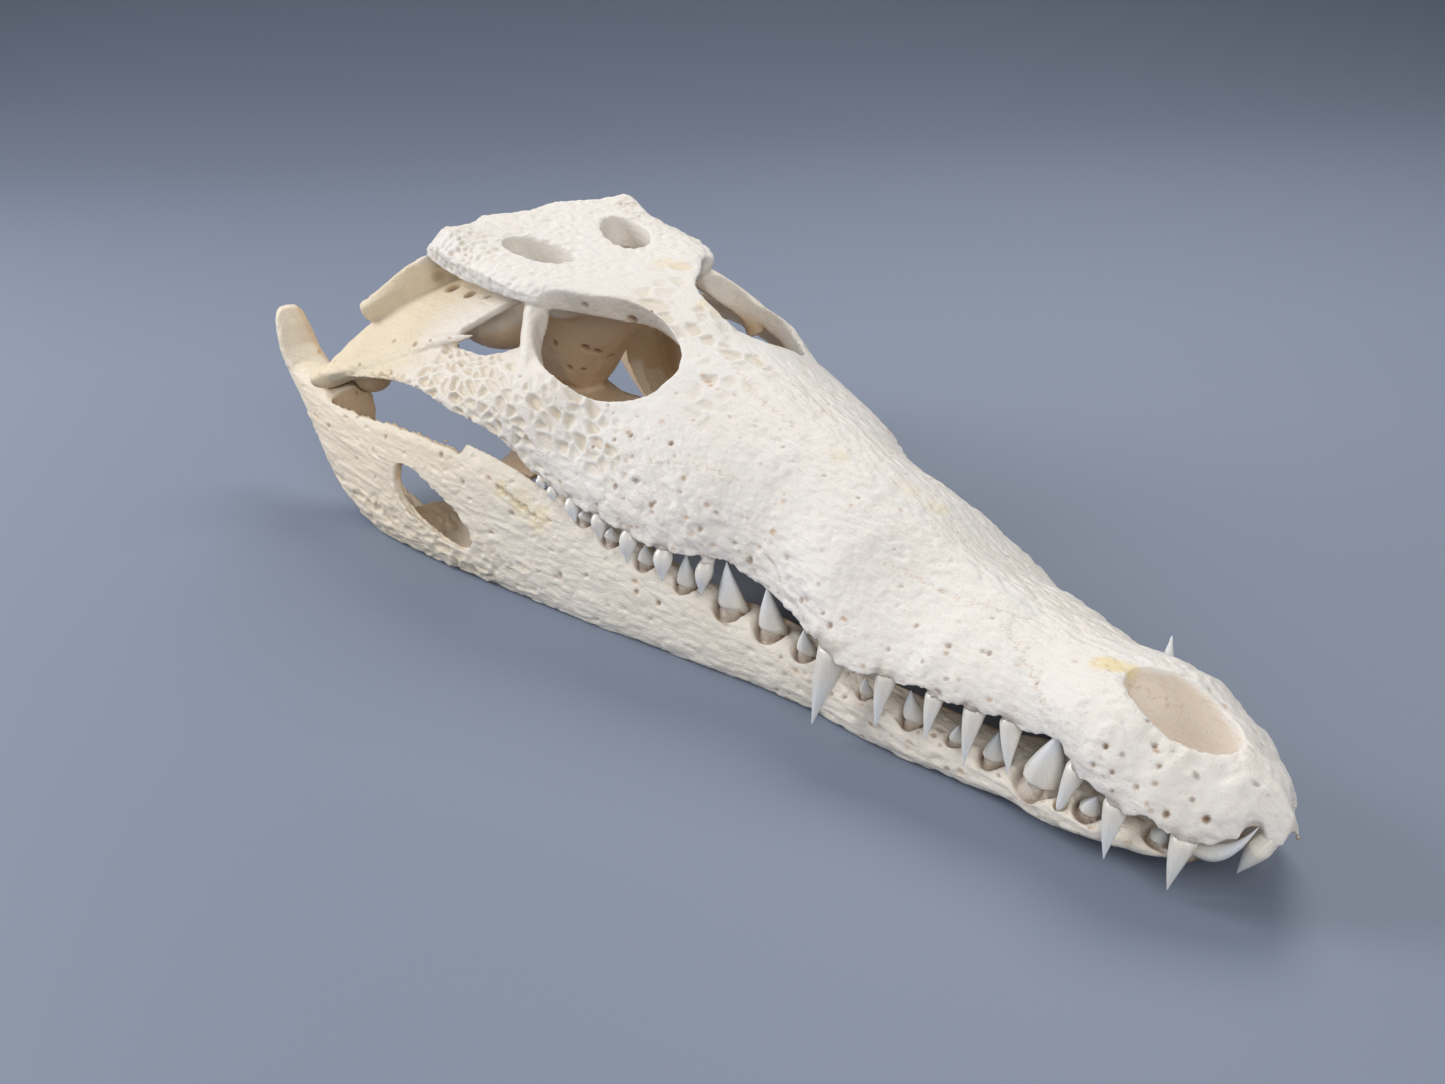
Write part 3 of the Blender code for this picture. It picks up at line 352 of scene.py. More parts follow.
def rim_plate(bm, side):
    """A curved plate that closes the thin outer wall of the lower jaw before the tooth row."""
    low_x, high_x, low_angle, high_angle = RIM_SPAN
    grid = bmesh.ops.create_grid(bm, x_segments=30, y_segments=14, size=1.0)["verts"]
    for v in grid:
        x = low_x + (high_x - low_x) * (v.co.x + 1) / 2
        angle = low_angle + (high_angle - low_angle) * (v.co.y + 1) / 2
        v.co = jaw_point(x, math.radians(angle), side)
    thicken(bm, grid, RIM_THICK, JAW_SWELL)


def fused(name, nodes, add_patch, sides, swell):
    """One evenly meshed body from several bones of the frame."""
    bm = bmesh.new()
    for node in nodes:
        bm.from_mesh(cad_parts[node].data)
    bmesh.ops.remove_doubles(bm, verts=bm.verts, dist=1e-6)
    bm.normal_update()
    for v in bm.verts:
        v.co += v.normal * swell
    for side in sides:
        add_patch(bm, side)
    mesh = bpy.data.meshes.new(name)
    bm.to_mesh(mesh)
    bm.free()
    thing = link(bpy.data.objects.new(name, mesh))
    even = thing.modifiers.new("even", "REMESH")
    even.mode = "VOXEL"
    even.voxel_size = VOXEL
    graph = bpy.context.evaluated_depsgraph_get()
    made = bpy.data.meshes.new_from_object(thing.evaluated_get(graph))
    thing.modifiers.clear()
    thing.data = made
    return Shell(thing)


# Noise and cell patterns

def lattice(points, seed):
    """Smooth noise between -1 and 1 at the points, one lump a unit."""
    table = np.random.default_rng(seed).random((CELLS, CELLS, CELLS)) * 2 - 1
    low = np.floor(points)
    f = points - low
    f = f * f * (3 - 2 * f)
    i = low.astype(int) % CELLS
    j = (i + 1) % CELLS
    total = 0.0
    for cx, wx in ((i[:, 0], 1 - f[:, 0]), (j[:, 0], f[:, 0])):
        for cy, wy in ((i[:, 1], 1 - f[:, 1]), (j[:, 1], f[:, 1])):
            for cz, wz in ((i[:, 2], 1 - f[:, 2]), (j[:, 2], f[:, 2])):
                total = total + table[cx, cy, cz] * wx * wy * wz
    return total


def lumps(points, size, seed, octaves=2):
    """Noise with lumps of about the given size, finer ones on top."""
    turn = np.array(Euler((0.5, 0.8, 0.3)).to_matrix())
    total, weight = 0.0, 1.0
    for k in range(octaves):
        total = total + weight * lattice(points @ turn / size * 2**k, seed + k)
        weight *= 0.5
    return total


def step(low, high, values):
    """0 below low, 1 above high, smooth between."""
    t = np.clip((values - low) / (high - low), 0, 1)
    return t * t * (3 - 2 * t)


def between(low, high, soft, values):
    """1 between two values, fading out over a soft width."""
    return step(low - soft, low + soft, values) * (1 - step(high - soft, high + soft, values))


def comb(shell, weight, size, stretch, seed, tilt=0.0, wander=0.35):
    """Irregular cells: how far each point is from its cell's wall, and the cell's own lot."""
    wall, lot = np.zeros(shell.count), np.zeros(shell.count)
    chosen = np.flatnonzero(weight > 0.02)
    if not len(chosen):
        return wall, lot
    p = shell.places[chosen] @ np.array(Matrix.Rotation(tilt, 3, "Y"))
    p = p * (1 / stretch, 1, 1) / size
    drift = [lumps(p, 2.2, seed + 5 + k, 2) for k in range(3)]
    q = p + wander * np.stack(drift, axis=1)
    spots = np.random.default_rng(seed).random((CELLS, CELLS, CELLS, 4))
    low = np.floor(q).astype(int)
    first = np.full(len(q), 9.0)
    second, mine = first.copy(), np.zeros(len(q))
    for i in (-1, 0, 1):
        for j in (-1, 0, 1):
            for k in (-1, 0, 1):
                cell = low + (i, j, k)
                spot = spots[cell[:, 0] % CELLS, cell[:, 1] % CELLS, cell[:, 2] % CELLS]
                gap = np.sqrt(((cell + spot[:, :3] - q) ** 2).sum(axis=1))
                closer = gap < first
                second = np.where(closer, first, np.minimum(second, gap))
                mine = np.where(closer, spot[:, 3], mine)
                first = np.minimum(first, gap)
    wall[chosen] = second - first
    lot[chosen] = mine
    return wall, lot


def ripples(shell, weight, size, stretch, seed, tilt, wander, high, middle, depth):
    """Rounded swells with creases between them, as a height in metres."""
    wall, _ = comb(shell, weight, size, stretch, seed, tilt, wander)
    return weight * depth * MM * (step(0.0, high, wall) - middle)


def pitted(shell, weight, size, stretch, depth, seed, ridge=0.34, share=1.0, tilt=0.0):
    """Pits with a net of ridges between them, as a depth in metres; a share of cells is pitted."""
    wall, lot = comb(shell, weight, size, stretch, seed, tilt)
    keen = np.where(lot < share, 0.45 + 0.55 * lot / share, 0.0)
    return step(0.05, ridge, wall) * keen * weight * depth * MM


def pits(shell, weight, spacing, radius, depth, stretch, seed, stain_and_shade=0.0):
    """Small rounded holes spread over a region, no two closer than the spacing, in millimetres."""
    rng = np.random.default_rng(seed)
    order = rng.permutation(np.flatnonzero(rng.random(shell.count) < weight))
    taken = np.zeros(shell.count, bool)
    bowls = np.zeros(shell.count)
    for i in order:
        if taken[i]:
            continue
        centre = shell.points[i]
        gap = spacing * rng.uniform(0.7, 1.6) * MM
        taken[shell.near(centre, gap)] = True
        wide = rng.uniform(*radius) * MM
        longer = rng.uniform(*stretch)
        close = shell.near(centre, wide * longer * 1.05)
        if not len(close):
            continue
        axis = np.array((1.0, 0.0, 0.0)) + rng.normal(0, 0.22, 3)
        axis -= shell.normals[i] * (axis @ shell.normals[i])
        axis /= np.linalg.norm(axis)
        away = shell.points[close] - centre
        lengthwise = away @ axis
        square = (away**2).sum(axis=1) - lengthwise**2 + (lengthwise / longer) ** 2
        bowl = np.clip(1 - square / wide**2, 0, 1) ** 1.3
        deep = rng.uniform(*depth) * MM * bowl
        bowls[close] = np.maximum(bowls[close], deep)
        if rng.random() < stain_and_shade:
            # Most marked pits get a rust stain; the rest get painted shade on their floors.
            mask = "rust" if rng.random() < 0.7 else "deep_shade"
            shell.paint(mask, close, np.clip(bowl * 1.6, 0, 1) * rng.uniform(0.25, 0.75))
    return bowls


def sink_holes(shell, rows):
    """The named holes, each with painted shade and a rust stain on its floor, as a depth in metres.
    """
    bowls = np.zeros(shell.count)
    for x, y, z, radius, depth, darkness in rows:
        centre = shell.tree.find(skull_point(x, y, z))[0]
        radius *= SMALL_HOLE_SCALE if x > SMALL_HOLES_FROM else 1.0
        close = shell.near(centre, radius * UNIT * 1.2)
        away = np.linalg.norm(shell.points[close] - np.array(centre), axis=1) / (radius * UNIT)
        bowl = 1 - step(0.35, 1.15, away)
        bowls[close] = np.maximum(bowls[close], bowl * depth * MM)
        # Painted shade on the hole's floor; the rust below is a stain.
        shell.paint("deep_shade", close, darkness * bowl)
        shell.paint("rust", close, 0.5 * darkness * (1 - step(0.7, 1.2, away)))
    return bowls


# Relief of the cranium

def outward(shell):
    """How far each point's surface faces away from the middle of the snout."""
    xs = [row[0] for row in DOME]
    margin = np.interp(shell.x, xs, [row[2] for row in DOME])
    ridge = np.interp(shell.x, xs, [row[3] for row in DOME])
    shell.rise = (shell.z - margin) / np.maximum(ridge - margin, 0.5)
    away = np.stack([np.zeros(shell.count), shell.y, shell.z - margin + 1.0], axis=1)
    away /= np.maximum(np.linalg.norm(away, axis=1), 1e-6)[:, None]
    facing = (away * shell.normals).sum(axis=1)
    width = np.interp(shell.x, xs, [row[1] for row in DOME])
    full = np.interp(shell.x, xs, [row[4] for row in DOME])
    reach = np.clip(shell.out / width, 0, 3) ** full + np.clip(shell.rise, 0, 3) ** full
    # Faces turned into the skull, which the inner mask paints with a tan stain and painted shade.
    shell.inside = 1 - step(0.62, 0.88, reach)
    return step(0.15, 0.6, facing) * step(-0.12, 0.05, shell.rise) * (1 - shell.inside)


def cranium_relief(shell):
    """Pits, craters, wrinkles and lumps of the skull bones, as a height in metres."""
    x, out, rise, p = shell.x, shell.out, shell.rise, shell.places
    skin = shell.masks["skin"]

    table = between(-4, 19, 1.5, x) * step(25.5, 26.8, shell.z)
    shaft = (1 - step(-4.5, -1.5, x)) * (1 - table)
    cheek = between(-3.0, 37, 1.5, x) * step(10.8, 12.6, out) * (1 - step(0.60, 0.72, rise))
    cheek *= 1 - (1 - step(3, 8, x)) * step(0.10, 0.26, rise)
    cheek *= 1 - 0.75 * step(23, 31, x) * (1 - step(0.22, 0.42, rise))
    corner = table * step(6.5, 8.6, out) * (1 - step(7, 12, x))
    brow = between(19, 43, 3, x) * (1 - step(6.5, 10.5, out)) * step(0.72, 0.86, rise)
    side = between(27, 63, 3, x) * (1 - step(0.42, 0.62, rise)) * (1 - cheek)
    maxilla = step(33, 43, x) * (1 - step(79, 85, x))
    nose = step(80, 85, x)
    ridge = maxilla * step(0.62, 0.85, rise)

    height = 0.16 * MM * lumps(p, 4.6, 11) * skin * (1 - 0.5 * cheek)
    height += 0.05 * MM * lumps(p, 1.3, 12, 3) * skin
    height += skin * shaft * 0.10 * MM * lumps(p * (0.35, 1, 1), 0.8, 13)

    long_way = ripples(shell, skin * maxilla, 0.62, 5.0, 21, 0.22, 0.55, 0.35, 0.5, 0.24)
    height += long_way * (0.6 + 0.4 * ridge)
    height += ripples(shell, skin * maxilla, 0.42, 7.0, 25, 0.16, 0.7, 0.30, 0.6, 0.16)
    height += ripples(shell, skin * maxilla * (1 - ridge), 0.80, 1.6, 26, 0.25, 0.5, 0.5, 0.5, 0.16)
    height += ripples(shell, skin * nose, 1.5, 1.3, 22, 0.0, 0.5, 0.5, 0.5, 0.26)
    height += ripples(shell, skin * side, 1.15, 2.4, 23, 0.30, 0.5, 0.5, 0.5, 0.34)
    height += ripples(shell, skin * table, 1.25, 1.0, 24, 0.0, 0.5, 0.5, 0.5, 0.30)

    bowls = [
        pitted(shell, cheek * skin, 1.12, 1.75, 1.25, 41, 0.40, 0.92, 0.30),
        pitted(shell, corner * skin, 0.80, 1.0, 0.75, 42, 0.45, 0.9),
        pitted(shell, table * skin * (1 - corner), 0.85, 1.0, 0.42, 43, 0.45, 0.55),
        pitted(shell, brow * skin, 1.9, 1.2, 0.60, 44, 0.34, 0.5),
        pitted(shell, side * skin, 1.25, 1.9, 0.50, 45, 0.50, 0.6, 0.3),
        pitted(shell, maxilla * skin * (1 - side), 1.0, 2.0, 0.22, 46, 0.5, 0.35, 0.2),
        pitted(shell, nose * skin, 0.9, 1.3, 0.42, 48, 0.5, 0.4),
    ]
    # Painted shade: the pits' floors are coloured darker the deeper they are.
    shell.masks["pit_shade"] = np.clip(bowls[0] / (1.1 * MM) + bowls[1] / (0.8 * MM), 0, 1)
    shell.masks["pit_shade"] += np.clip(bowls[3] / (0.6 * MM), 0, 1) * 0.8
    rows = maxilla * between(0.04, 0.45, 0.05, rise) * skin
    bowls += [
        pits(shell, rows * 0.5, 3.8, (0.35, 0.70), (0.3, 0.7), (1.1, 2.2), 51, 0.6),
        pits(shell, step(30, 38, x) * skin * 0.2, 5.5, (0.35, 0.60), (0.2, 0.45), (1, 1.4), 52, 0.6),
        pits(shell, nose * skin * 0.5, 4.4, (0.35, 0.65), (0.3, 0.6), (1.0, 1.9), 53, 0.45),
        pits(shell, side * skin * 0.4, 5.5, (0.5, 0.9), (0.3, 0.6), (1.2, 2.0), 54, 0.35),
        pits(shell, cheek * skin * 0.2, 7.0, (0.5, 0.8), (0.3, 0.5), (1.0, 1.5), 55, 0.7),
        pits(shell, shaft * 0.1, 11.0, (0.5, 0.9), (0.25, 0.5), (1.3, 2.2), 56, 0.8),
        sink_holes(shell, HOLES),
    ]
    for i, path in enumerate(SUTURES):
        bowls.append(shell.line("rust", path, 0.10, 0.42, 60 + i) * 0.16 * MM)
        mirrored = [(a, -b, c) for a, b, c in path]
        bowls.append(shell.line("rust", mirrored, 0.10, 0.38, 70 + i) * 0.16 * MM)
    shell.spots("rust", RUST)
    shell.spots("yellow", YELLOW)
    flaky = step(0.25, 0.7, shell.masks["yellow"]) * between(82, 87, 0.5, x)
    height += flaky * (0.5 * np.abs(lumps(p * (0.5, 1, 1), 0.5, 58, 2)) - 0.1) * MM
    inside = (1 - skin) * (1 - shaft) * 0.12 * MM * lumps(p, 2.6, 57)
    return height - np.maximum.reduce(bowls) + inside


def jaw_relief(shell):
    """Lengthwise grooves, slits and pits of the lower jaw, as a height in metres."""
    x, z, p = shell.x, shell.z, shell.places
    facing = shell.normals[:, 1] * np.sign(shell.y)
    skin = step(-0.1, 0.35, facing + 0.5 * np.clip(shell.normals[:, 2], 0, 1))
    shell.masks["skin"] = skin
    back = 1 - step(18, 34, x)
    smooth_top = back * step(8.5, 11.0, z)
    height = 0.18 * MM * lumps(p, 4.5, 71) * (0.5 + 0.5 * skin)
    height += 0.06 * MM * lumps(p * (0.4, 1, 1), 1.0, 72, 3) * skin
    grooves = ripples(shell, skin, 0.80, 9.0, 73, 0.03, 0.7, 0.40, 0.6, 1.0)
    height += grooves * (1 - 0.7 * smooth_top) * (0.26 + 0.10 * back)
    low_back = back * skin * (1 - step(3.2, 6.5, z)) * step(-14, -8, x)
    front = step(55, 66, x)
    bowls = [
        pitted(shell, low_back, 0.95, 2.2, 0.8, 81, 0.40, 0.8, -0.05),
        pitted(shell, skin * front, 0.9, 1.8, 0.4, 84, 0.5, 0.5),
        pits(shell, skin * (1 - step(10, 13, z)) * 0.4, 6.0, (0.35, 0.6), (0.4, 0.8), (2.2, 4.0), 82,
             0.45),
        pits(shell, skin * front * 0.6, 3.0, (0.40, 0.70), (0.4, 0.7), (1.1, 1.8), 83, 0.8),
        pits(shell, skin * smooth_top * 0.1, 11.0, (0.4, 0.8), (0.25, 0.5), (1.2, 2.0), 85, 0.8),
    ]
    # Painted shade: the pits low on the jaw's back are coloured darker the deeper they are.
    shell.masks["pit_shade"] = np.clip(bowls[0] / (0.9 * MM), 0, 1)
    shell.spots("yellow", YELLOW)
    if shell.y[0] < 0:
        bowls.append(sink_holes(shell, JAW_HOLES))
        # The split's groove is painted dark as shade.
        bowls.append(shell.line("deep_shade", JAW_SLIT, 0.17, 0.6, 86, 0.04) * 0.7 * MM)
    return height - np.maximum.reduce(bowls)


# Teeth and their sockets

def teeth_of(side):
    """Jaw, gum point, tip, thickness and bow of every tooth of one side, in metres."""
    found = []

    def keep(jaw, gum, tip, thickness, bow):
        points = [skull_point(p.x, side * p.y, p.z) for p in (gum, tip)]
        curve = np.array((bow[0], side * bow[1], bow[2])) * UNIT
        found.append((jaw, *points, thickness * UNIT, curve))

    draw = random.Random(TOOTH_SEED + side)
    for x, drop, thickness, lean in UPPER_TEETH:
        width, margin, ridge, full = smooth(DOME, x)
        drop *= draw.uniform(0.97, 1.03)
        gum = Vector((x, width - 0.5 * thickness - 0.1, margin))
        if side < 0 or x < LOST_AHEAD_OF:
            keep("upper", gum, gum + Vector((lean, UPPER_FLARE, -1.0)) * drop, thickness, TOOTH_BOW)
    draw = random.Random(TOOTH_SEED + 2 * side)
    for x, rise, thickness, lean in LOWER_TEETH:
        outer, inner, under, top, tilt = smooth(JAW, x)
        if side > 0 and x == FANG_PLACE:
            rise, lean = LEFT_FANG_RISE, LEFT_FANG_LEAN
        first = x == FRONT_PLACE
        rise *= draw.uniform(0.97, 1.03)
        gum = Vector((x, outer - tilt - 0.9 - 0.35 * thickness, top - 0.1))
        tip = gum + Vector((lean, FRONT_FLARE if first else LOWER_FLARE, 1.0)) * rise
        keep("lower", gum, tip, thickness, FRONT_BOW if first else TOOTH_BOW)
    return found


def set_sockets(shell, jaw, teeth):
    """Shrinks the fused teeth into their places and sinks a rim round each, painted dark as shade in
    the gap about the tooth.
    """
    for row, gum, tip, thick, bow in teeth:
        if row != jaw:
            continue
        axis = tip - gum
        crown = np.linalg.norm(axis)
        axis /= crown
        close = shell.near(gum + axis * crown / 2, crown / 2 + thick * 1.8)
        away = shell.points[close] - gum
        high = away @ axis
        share = np.clip(high / crown, 0, 1)
        side = away - high[:, None] * axis - (share * (1 - share))[:, None] * bow
        wide = np.linalg.norm(side, axis=1)
        stub = (high > 0.10 * thick) & (wide < np.where(high > 0.6 * thick, 0.85, 0.62) * thick)
        shell.points[close[stub]] -= side[stub] * 0.75 + axis * (high[stub, None] * 0.50)
        ring = np.exp(-(((wide - 0.56 * thick) / (0.14 * thick + 0.2 * MM)) ** 2))
        ring *= np.exp(-((high / (0.5 * thick)) ** 2)) * ~stub
        deep = (0.25 * thick + 0.3 * MM) * (1.5 if jaw == "lower" else 0.6)
        shell.points[close] -= axis * (ring * deep)[:, None]
        # Painted shade in the gap round the tooth.
        shell.paint("deep_shade", close, np.clip(ring * 1.1, 0, 1) * (0.9 if jaw == "lower" else 0.5))


def tooth_mesh(bm, gum, tip, thick, bow, leaf):
    """One closed tooth: a bowed, fluted crown with two cutting edges on a sunken root."""
    crown_layer = bm.verts.layers.float["crown"]
    axis = Vector(tip - gum)
    crown = axis.length
    turn = axis.to_track_quat("Z", "Y").to_matrix()
    made = bmesh.ops.create_uvsphere(bm, u_segments=36, v_segments=30, radius=1.0)["verts"]
    root = ROOT_LENGTH * UNIT
    for v in made:
        t = 1 - math.acos(max(-1.0, min(1.0, v.co.z))) / math.pi
        along = -root + (crown + root) * t
        share = min(max(along / crown, 0.0), 1.0)
        round_tip = math.sqrt(max(0.0, 1 - max(0.0, (t - 0.965) / 0.035) ** 2))
        depth = max(-along / root, 0.0)
        if share <= 0:
            size = (0.80 if leaf else 1.0) * (1 - 0.35 * depth)
            size *= math.sqrt(max(0.0, 1 - depth ** 8))
        elif leaf:
            size = (0.80 + 0.42 * math.sin(math.pi * min(share * 1.25, 1))) * (1 - share) ** 0.55
        else:
            size = (1 - share) ** 0.96 * (1 + 0.08 * math.sin(math.pi * share))
        size = max(size, 0.07 if share > 0.5 else 0.0) * round_tip
        angle = math.atan2(v.co.y, v.co.x)
        flute = 1 + 0.016 * math.cos(11 * angle) * (1 - share)
        edge = 1 + 0.07 * abs(math.cos(angle)) ** 10
        radius = 0.52 * thick * size * flute * edge
        spot = Vector((math.cos(angle) * radius * 1.04, math.sin(angle) * radius * 0.96, along))
        bend = Vector(bow) * (share * (1 - share))
        bend.y -= math.copysign(ROOT_TURN * thick * depth, gum[1])
        v.co = Vector(gum) + turn @ spot + bend
        v[crown_layer] = share


def build_teeth(teeth, side_name, material):
    pieces = []
    for jaw in ("upper", "lower"):
        bm = bmesh.new()
        bm.verts.layers.float.new("crown")
        for row, gum, tip, thick, bow in teeth:
            if row == jaw:
                leaf = jaw == "upper" and gum[0] < (LEAF_BEHIND - MIDDLE_X) * UNIT
                tooth_mesh(bm, gum, tip, thick, bow, leaf)
        bmesh.ops.recalc_face_normals(bm, faces=bm.faces)
        mesh = bpy.data.meshes.new(f"teeth_{jaw}_{side_name}")
        bm.to_mesh(mesh)
        bm.free()
        mesh.shade_smooth()
        mesh.materials.append(material)
        pieces.append(link(bpy.data.objects.new(mesh.name, mesh)))
    return pieces


# Pieces

def finished_bm(shell):
    """The worked body with its masks and the normals that the pieces keep along their seams."""
    mesh = shell.thing.data
    for name, values in shell.masks.items():
        mask = mesh.attributes.new(name, "FLOAT", "POINT")
        mask.data.foreach_set("value", np.clip(values, 0, 1).astype(np.float32))
    kept = mesh.attributes.new("kept_normal", "FLOAT_VECTOR", "POINT")
    kept.data.foreach_set("vector", shell.normals.ravel().astype(np.float32))
    bm = bmesh.new()
    bm.from_mesh(mesh)
    bpy.data.objects.remove(shell.thing)
    return bm


def parted(bm, point, normal):
    """Two closed bodies from one, the first on the side that the normal points to."""
    halves = []
    for ahead in (True, False):
        half = bm.copy() if ahead else bm
        bmesh.ops.bisect_plane(half, geom=half.verts[:] + half.edges[:] + half.faces[:], dist=1e-7,
                               plane_co=point, plane_no=normal,
                               clear_inner=ahead, clear_outer=not ahead)
        rims = [e for e in half.edges if e.is_boundary]
        outward_side = -normal if ahead else normal
        bmesh.ops.triangle_fill(half, use_beauty=True, edges=rims, normal=outward_side)
        halves.append(half)
    return halves


def bone_piece(bm, name, material):
    mesh = bpy.data.meshes.new(name)
    bmesh.ops.triangulate(bm, faces=[f for f in bm.faces if len(f.verts) > 4])
    bm.to_mesh(mesh)
    bm.free()
    mesh.shade_smooth()
    normals = np.empty(len(mesh.vertices) * 3, np.float32)
    mesh.attributes["kept_normal"].data.foreach_get("vector", normals)
    mesh.normals_split_custom_set_from_vertices(normals.reshape(-1, 3))
    mesh.attributes.remove(mesh.attributes["kept_normal"])
    mesh.materials.append(material)
    return link(bpy.data.objects.new(name, mesh))


def slanted(place):
    """Point and forward normal of a cut whose place moves forward with height."""
    x, z, slope = place
    return Vector(skull_point(x, 0, z)), Vector((1, 0, -slope)).normalized()


def part_cranium(bm, material):
    """The cranium as its named bones, each closed; the frame nodes that they stand for are hidden.
    """
    snout, rear = parted(bm, *slanted(SNOUT_CUT))
    nose, snout = parted(snout, *slanted(PREMAXILLA_CUT))
    snout_left, snout_right = parted(snout, Vector((0, 0, 0)), Vector((0, 1, 0)))
    seam = Vector(skull_point(0, 0, TABLE_SEAM[0]))
    roof, rear = parted(rear, seam, Vector((TABLE_SEAM[1], 0, 1)).normalized())
    left, rear = parted(rear, Vector(skull_point(0, CHEEK_SEAM, 0)), Vector((0, 1, 0)))
    right, rear = parted(rear, Vector(skull_point(0, -CHEEK_SEAM, 0)), Vector((0, -1, 0)))
    middle, low = parted(rear, Vector(skull_point(0, 0, PALATE_SEAM)), Vector((0, 0, 1)))
    named = (("premaxilla", nose, "snout"), ("maxilla_left", snout_left, "snout"),
             ("maxilla_right", snout_right, "snout"), ("skull_roof", roof, "skull_roof"),
             ("cheek_left", left, "cheek_left"), ("cheek_right", right, "cheek_right"),
             ("braincase", middle, "braincase"), ("palate", low, "palate"))
    pieces = []
    for name, body, node in named:
        piece = bone_piece(body, f"{name}_bone", material)
        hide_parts(node)
        pieces.append(piece)
    return pieces


# Materials

class Nodes:
    """Short hands for building a node tree."""

    def __init__(self, tree):
        self.tree = tree

    def add(self, kind, **settings):
        node = self.tree.nodes.new(kind)
        inputs = settings.pop("inputs", {})
        for key, value in settings.items():
            setattr(node, key, value)
        for key, value in inputs.items():
            if isinstance(value, bpy.types.NodeSocket):
                self.tree.links.new(value, node.inputs[key])
            else:
                node.inputs[key].default_value = value
        return node

    def math(self, operation, a, b=0.0, clamp=False):
        return self.add("ShaderNodeMath", operation=operation, use_clamp=clamp,
                        inputs={0: a, 1: b}).outputs[0]

    def times(self, a, b):
        return self.math("MULTIPLY", a, b)

    def mix(self, factor, a, b):
        node = self.add("ShaderNodeMix", data_type="RGBA", inputs={0: factor, 6: a, 7: b})
        return node.outputs[2]

    def feed(self, shader, sources):
        for name, source in sources.items():
            self.tree.links.new(source, shader.inputs[name])

    def mask(self, name):
        return self.add("ShaderNodeAttribute", attribute_name=name).outputs["Fac"]

    def noise(self, vector, scale, detail=3.0, rough=0.5):
        return self.add("ShaderNodeTexNoise", inputs={
            "Vector": vector, "Scale": scale, "Detail": detail, "Roughness": rough}).outputs["Fac"]

    def ramp(self, value, low, high):
        """0 below low, 1 above high."""
        return self.add("ShaderNodeMapRange", inputs={
            "Value": value, "From Min": low, "From Max": high}).outputs["Result"]


def aged_bone_group():
    """Mottled, stained and pored bone with painted shade in its pits, holes, inner faces and lower
    sides: a colour, a roughness and a fine height.
    """
    tree = bpy.data.node_groups.new("aged_bone", "ShaderNodeTree")
    colours = (("Clean", (0.81, 0.765, 0.705, 1)), ("Cream", (0.74, 0.62, 0.44, 1)),
               ("Pit_shade", (0.66, 0.54, 0.37, 1)), ("Inner_stain_and_shade", (0.60, 0.405, 0.225, 1)),
               ("Rust", (0.48, 0.26, 0.10, 1)),
               ("Deep_shade", (0.16, 0.08, 0.035, 1)), ("Yellow", (0.80, 0.64, 0.32, 1)))
    for name, value in colours:
        socket = tree.interface.new_socket(name, in_out="INPUT", socket_type="NodeSocketColor")
        socket.default_value = value
    for name, kind in (("Colour", "NodeSocketColor"), ("Roughness", "NodeSocketFloat"),
                       ("Height", "NodeSocketFloat")):
        tree.interface.new_socket(name, in_out="OUTPUT", socket_type=kind)
    n = Nodes(tree)
    given = n.add("NodeGroupInput").outputs
    place = n.add("ShaderNodeTexCoord").outputs["Object"]
    long_way = n.add("ShaderNodeMapping", inputs={
        "Vector": place, "Rotation": (0, 0.13, 0), "Scale": (0.16, 1, 1)}).outputs[0]
    cloud = n.noise(place, 48.0, 4.0, 0.55)
    fine = n.noise(place, 420.0, 4.0, 0.6)
    grit = n.noise(place, 1500.0, 3.0, 0.6)
    veins = n.noise(long_way, 900.0, 3.0, 0.55)
    # Cream tone from the mask, which also holds painted shade, with cloudy mottling and veins.
    cream_and_shade = n.math("ADD", n.mask("cream_and_shade"), n.times(n.ramp(cloud, 0.50, 0.78), 0.22))
    cream_and_shade = n.math("ADD", cream_and_shade, n.times(n.ramp(veins, 0.62, 0.80), 0.10), True)
    colour = n.mix(cream_and_shade, given["Clean"], given["Cream"])
    # Painted shade in the pits, darker with their depth.
    colour = n.mix(n.times(n.mask("pit_shade"), 0.55), colour, given["Pit_shade"])
    # Tan stain with painted shade on inner faces and undersides.
    colour = n.mix(n.times(n.mask("inner"), n.math("ADD", 0.50, n.times(cloud, 0.5))), colour,
                   given["Inner_stain_and_shade"])
    yellow = n.times(n.mask("yellow"), n.ramp(fine, 0.15, 0.60))
    colour = n.mix(yellow, colour, given["Yellow"])
    rusty = n.times(n.mask("rust"), n.math("ADD", 0.35, n.ramp(fine, 0.30, 0.62), True))
    colour = n.mix(n.times(rusty, 0.85), colour, given["Rust"])
    speck = n.add("ShaderNodeTexVoronoi", inputs={"Vector": place, "Scale": 300.0}).outputs[0]
    speck = n.times(n.ramp(speck, 0.10, 0.04), n.ramp(cloud, 0.52, 0.62))
    colour = n.mix(n.times(speck, 0.40), colour, given["Rust"])
    # Painted shade in holes, socket gaps and the jaw's split.
    deep_shading = n.times(n.mask("deep_shade"), n.math("ADD", 0.5, n.ramp(fine, 0.25, 0.6), True))
    colour = n.mix(n.times(deep_shading, 0.88), colour, given["Deep_shade"])
    pore = n.add("ShaderNodeTexVoronoi", inputs={"Vector": place, "Scale": 1100.0}).outputs[0]
    height = n.math("ADD", n.times(fine, 0.75), n.times(grit, 0.25))
    height = n.math("ADD", height, n.times(veins, 0.75))
    height = n.math("SUBTRACT", height, n.times(n.ramp(pore, 0.30, 0.05), 0.25))
    height = n.math("SUBTRACT", height, n.times(speck, 0.6))
    rough = n.math("ADD", 0.40, n.times(fine, 0.25))
    n.add("NodeGroupOutput", inputs={"Colour": colour, "Roughness": rough, "Height": height})
    return tree


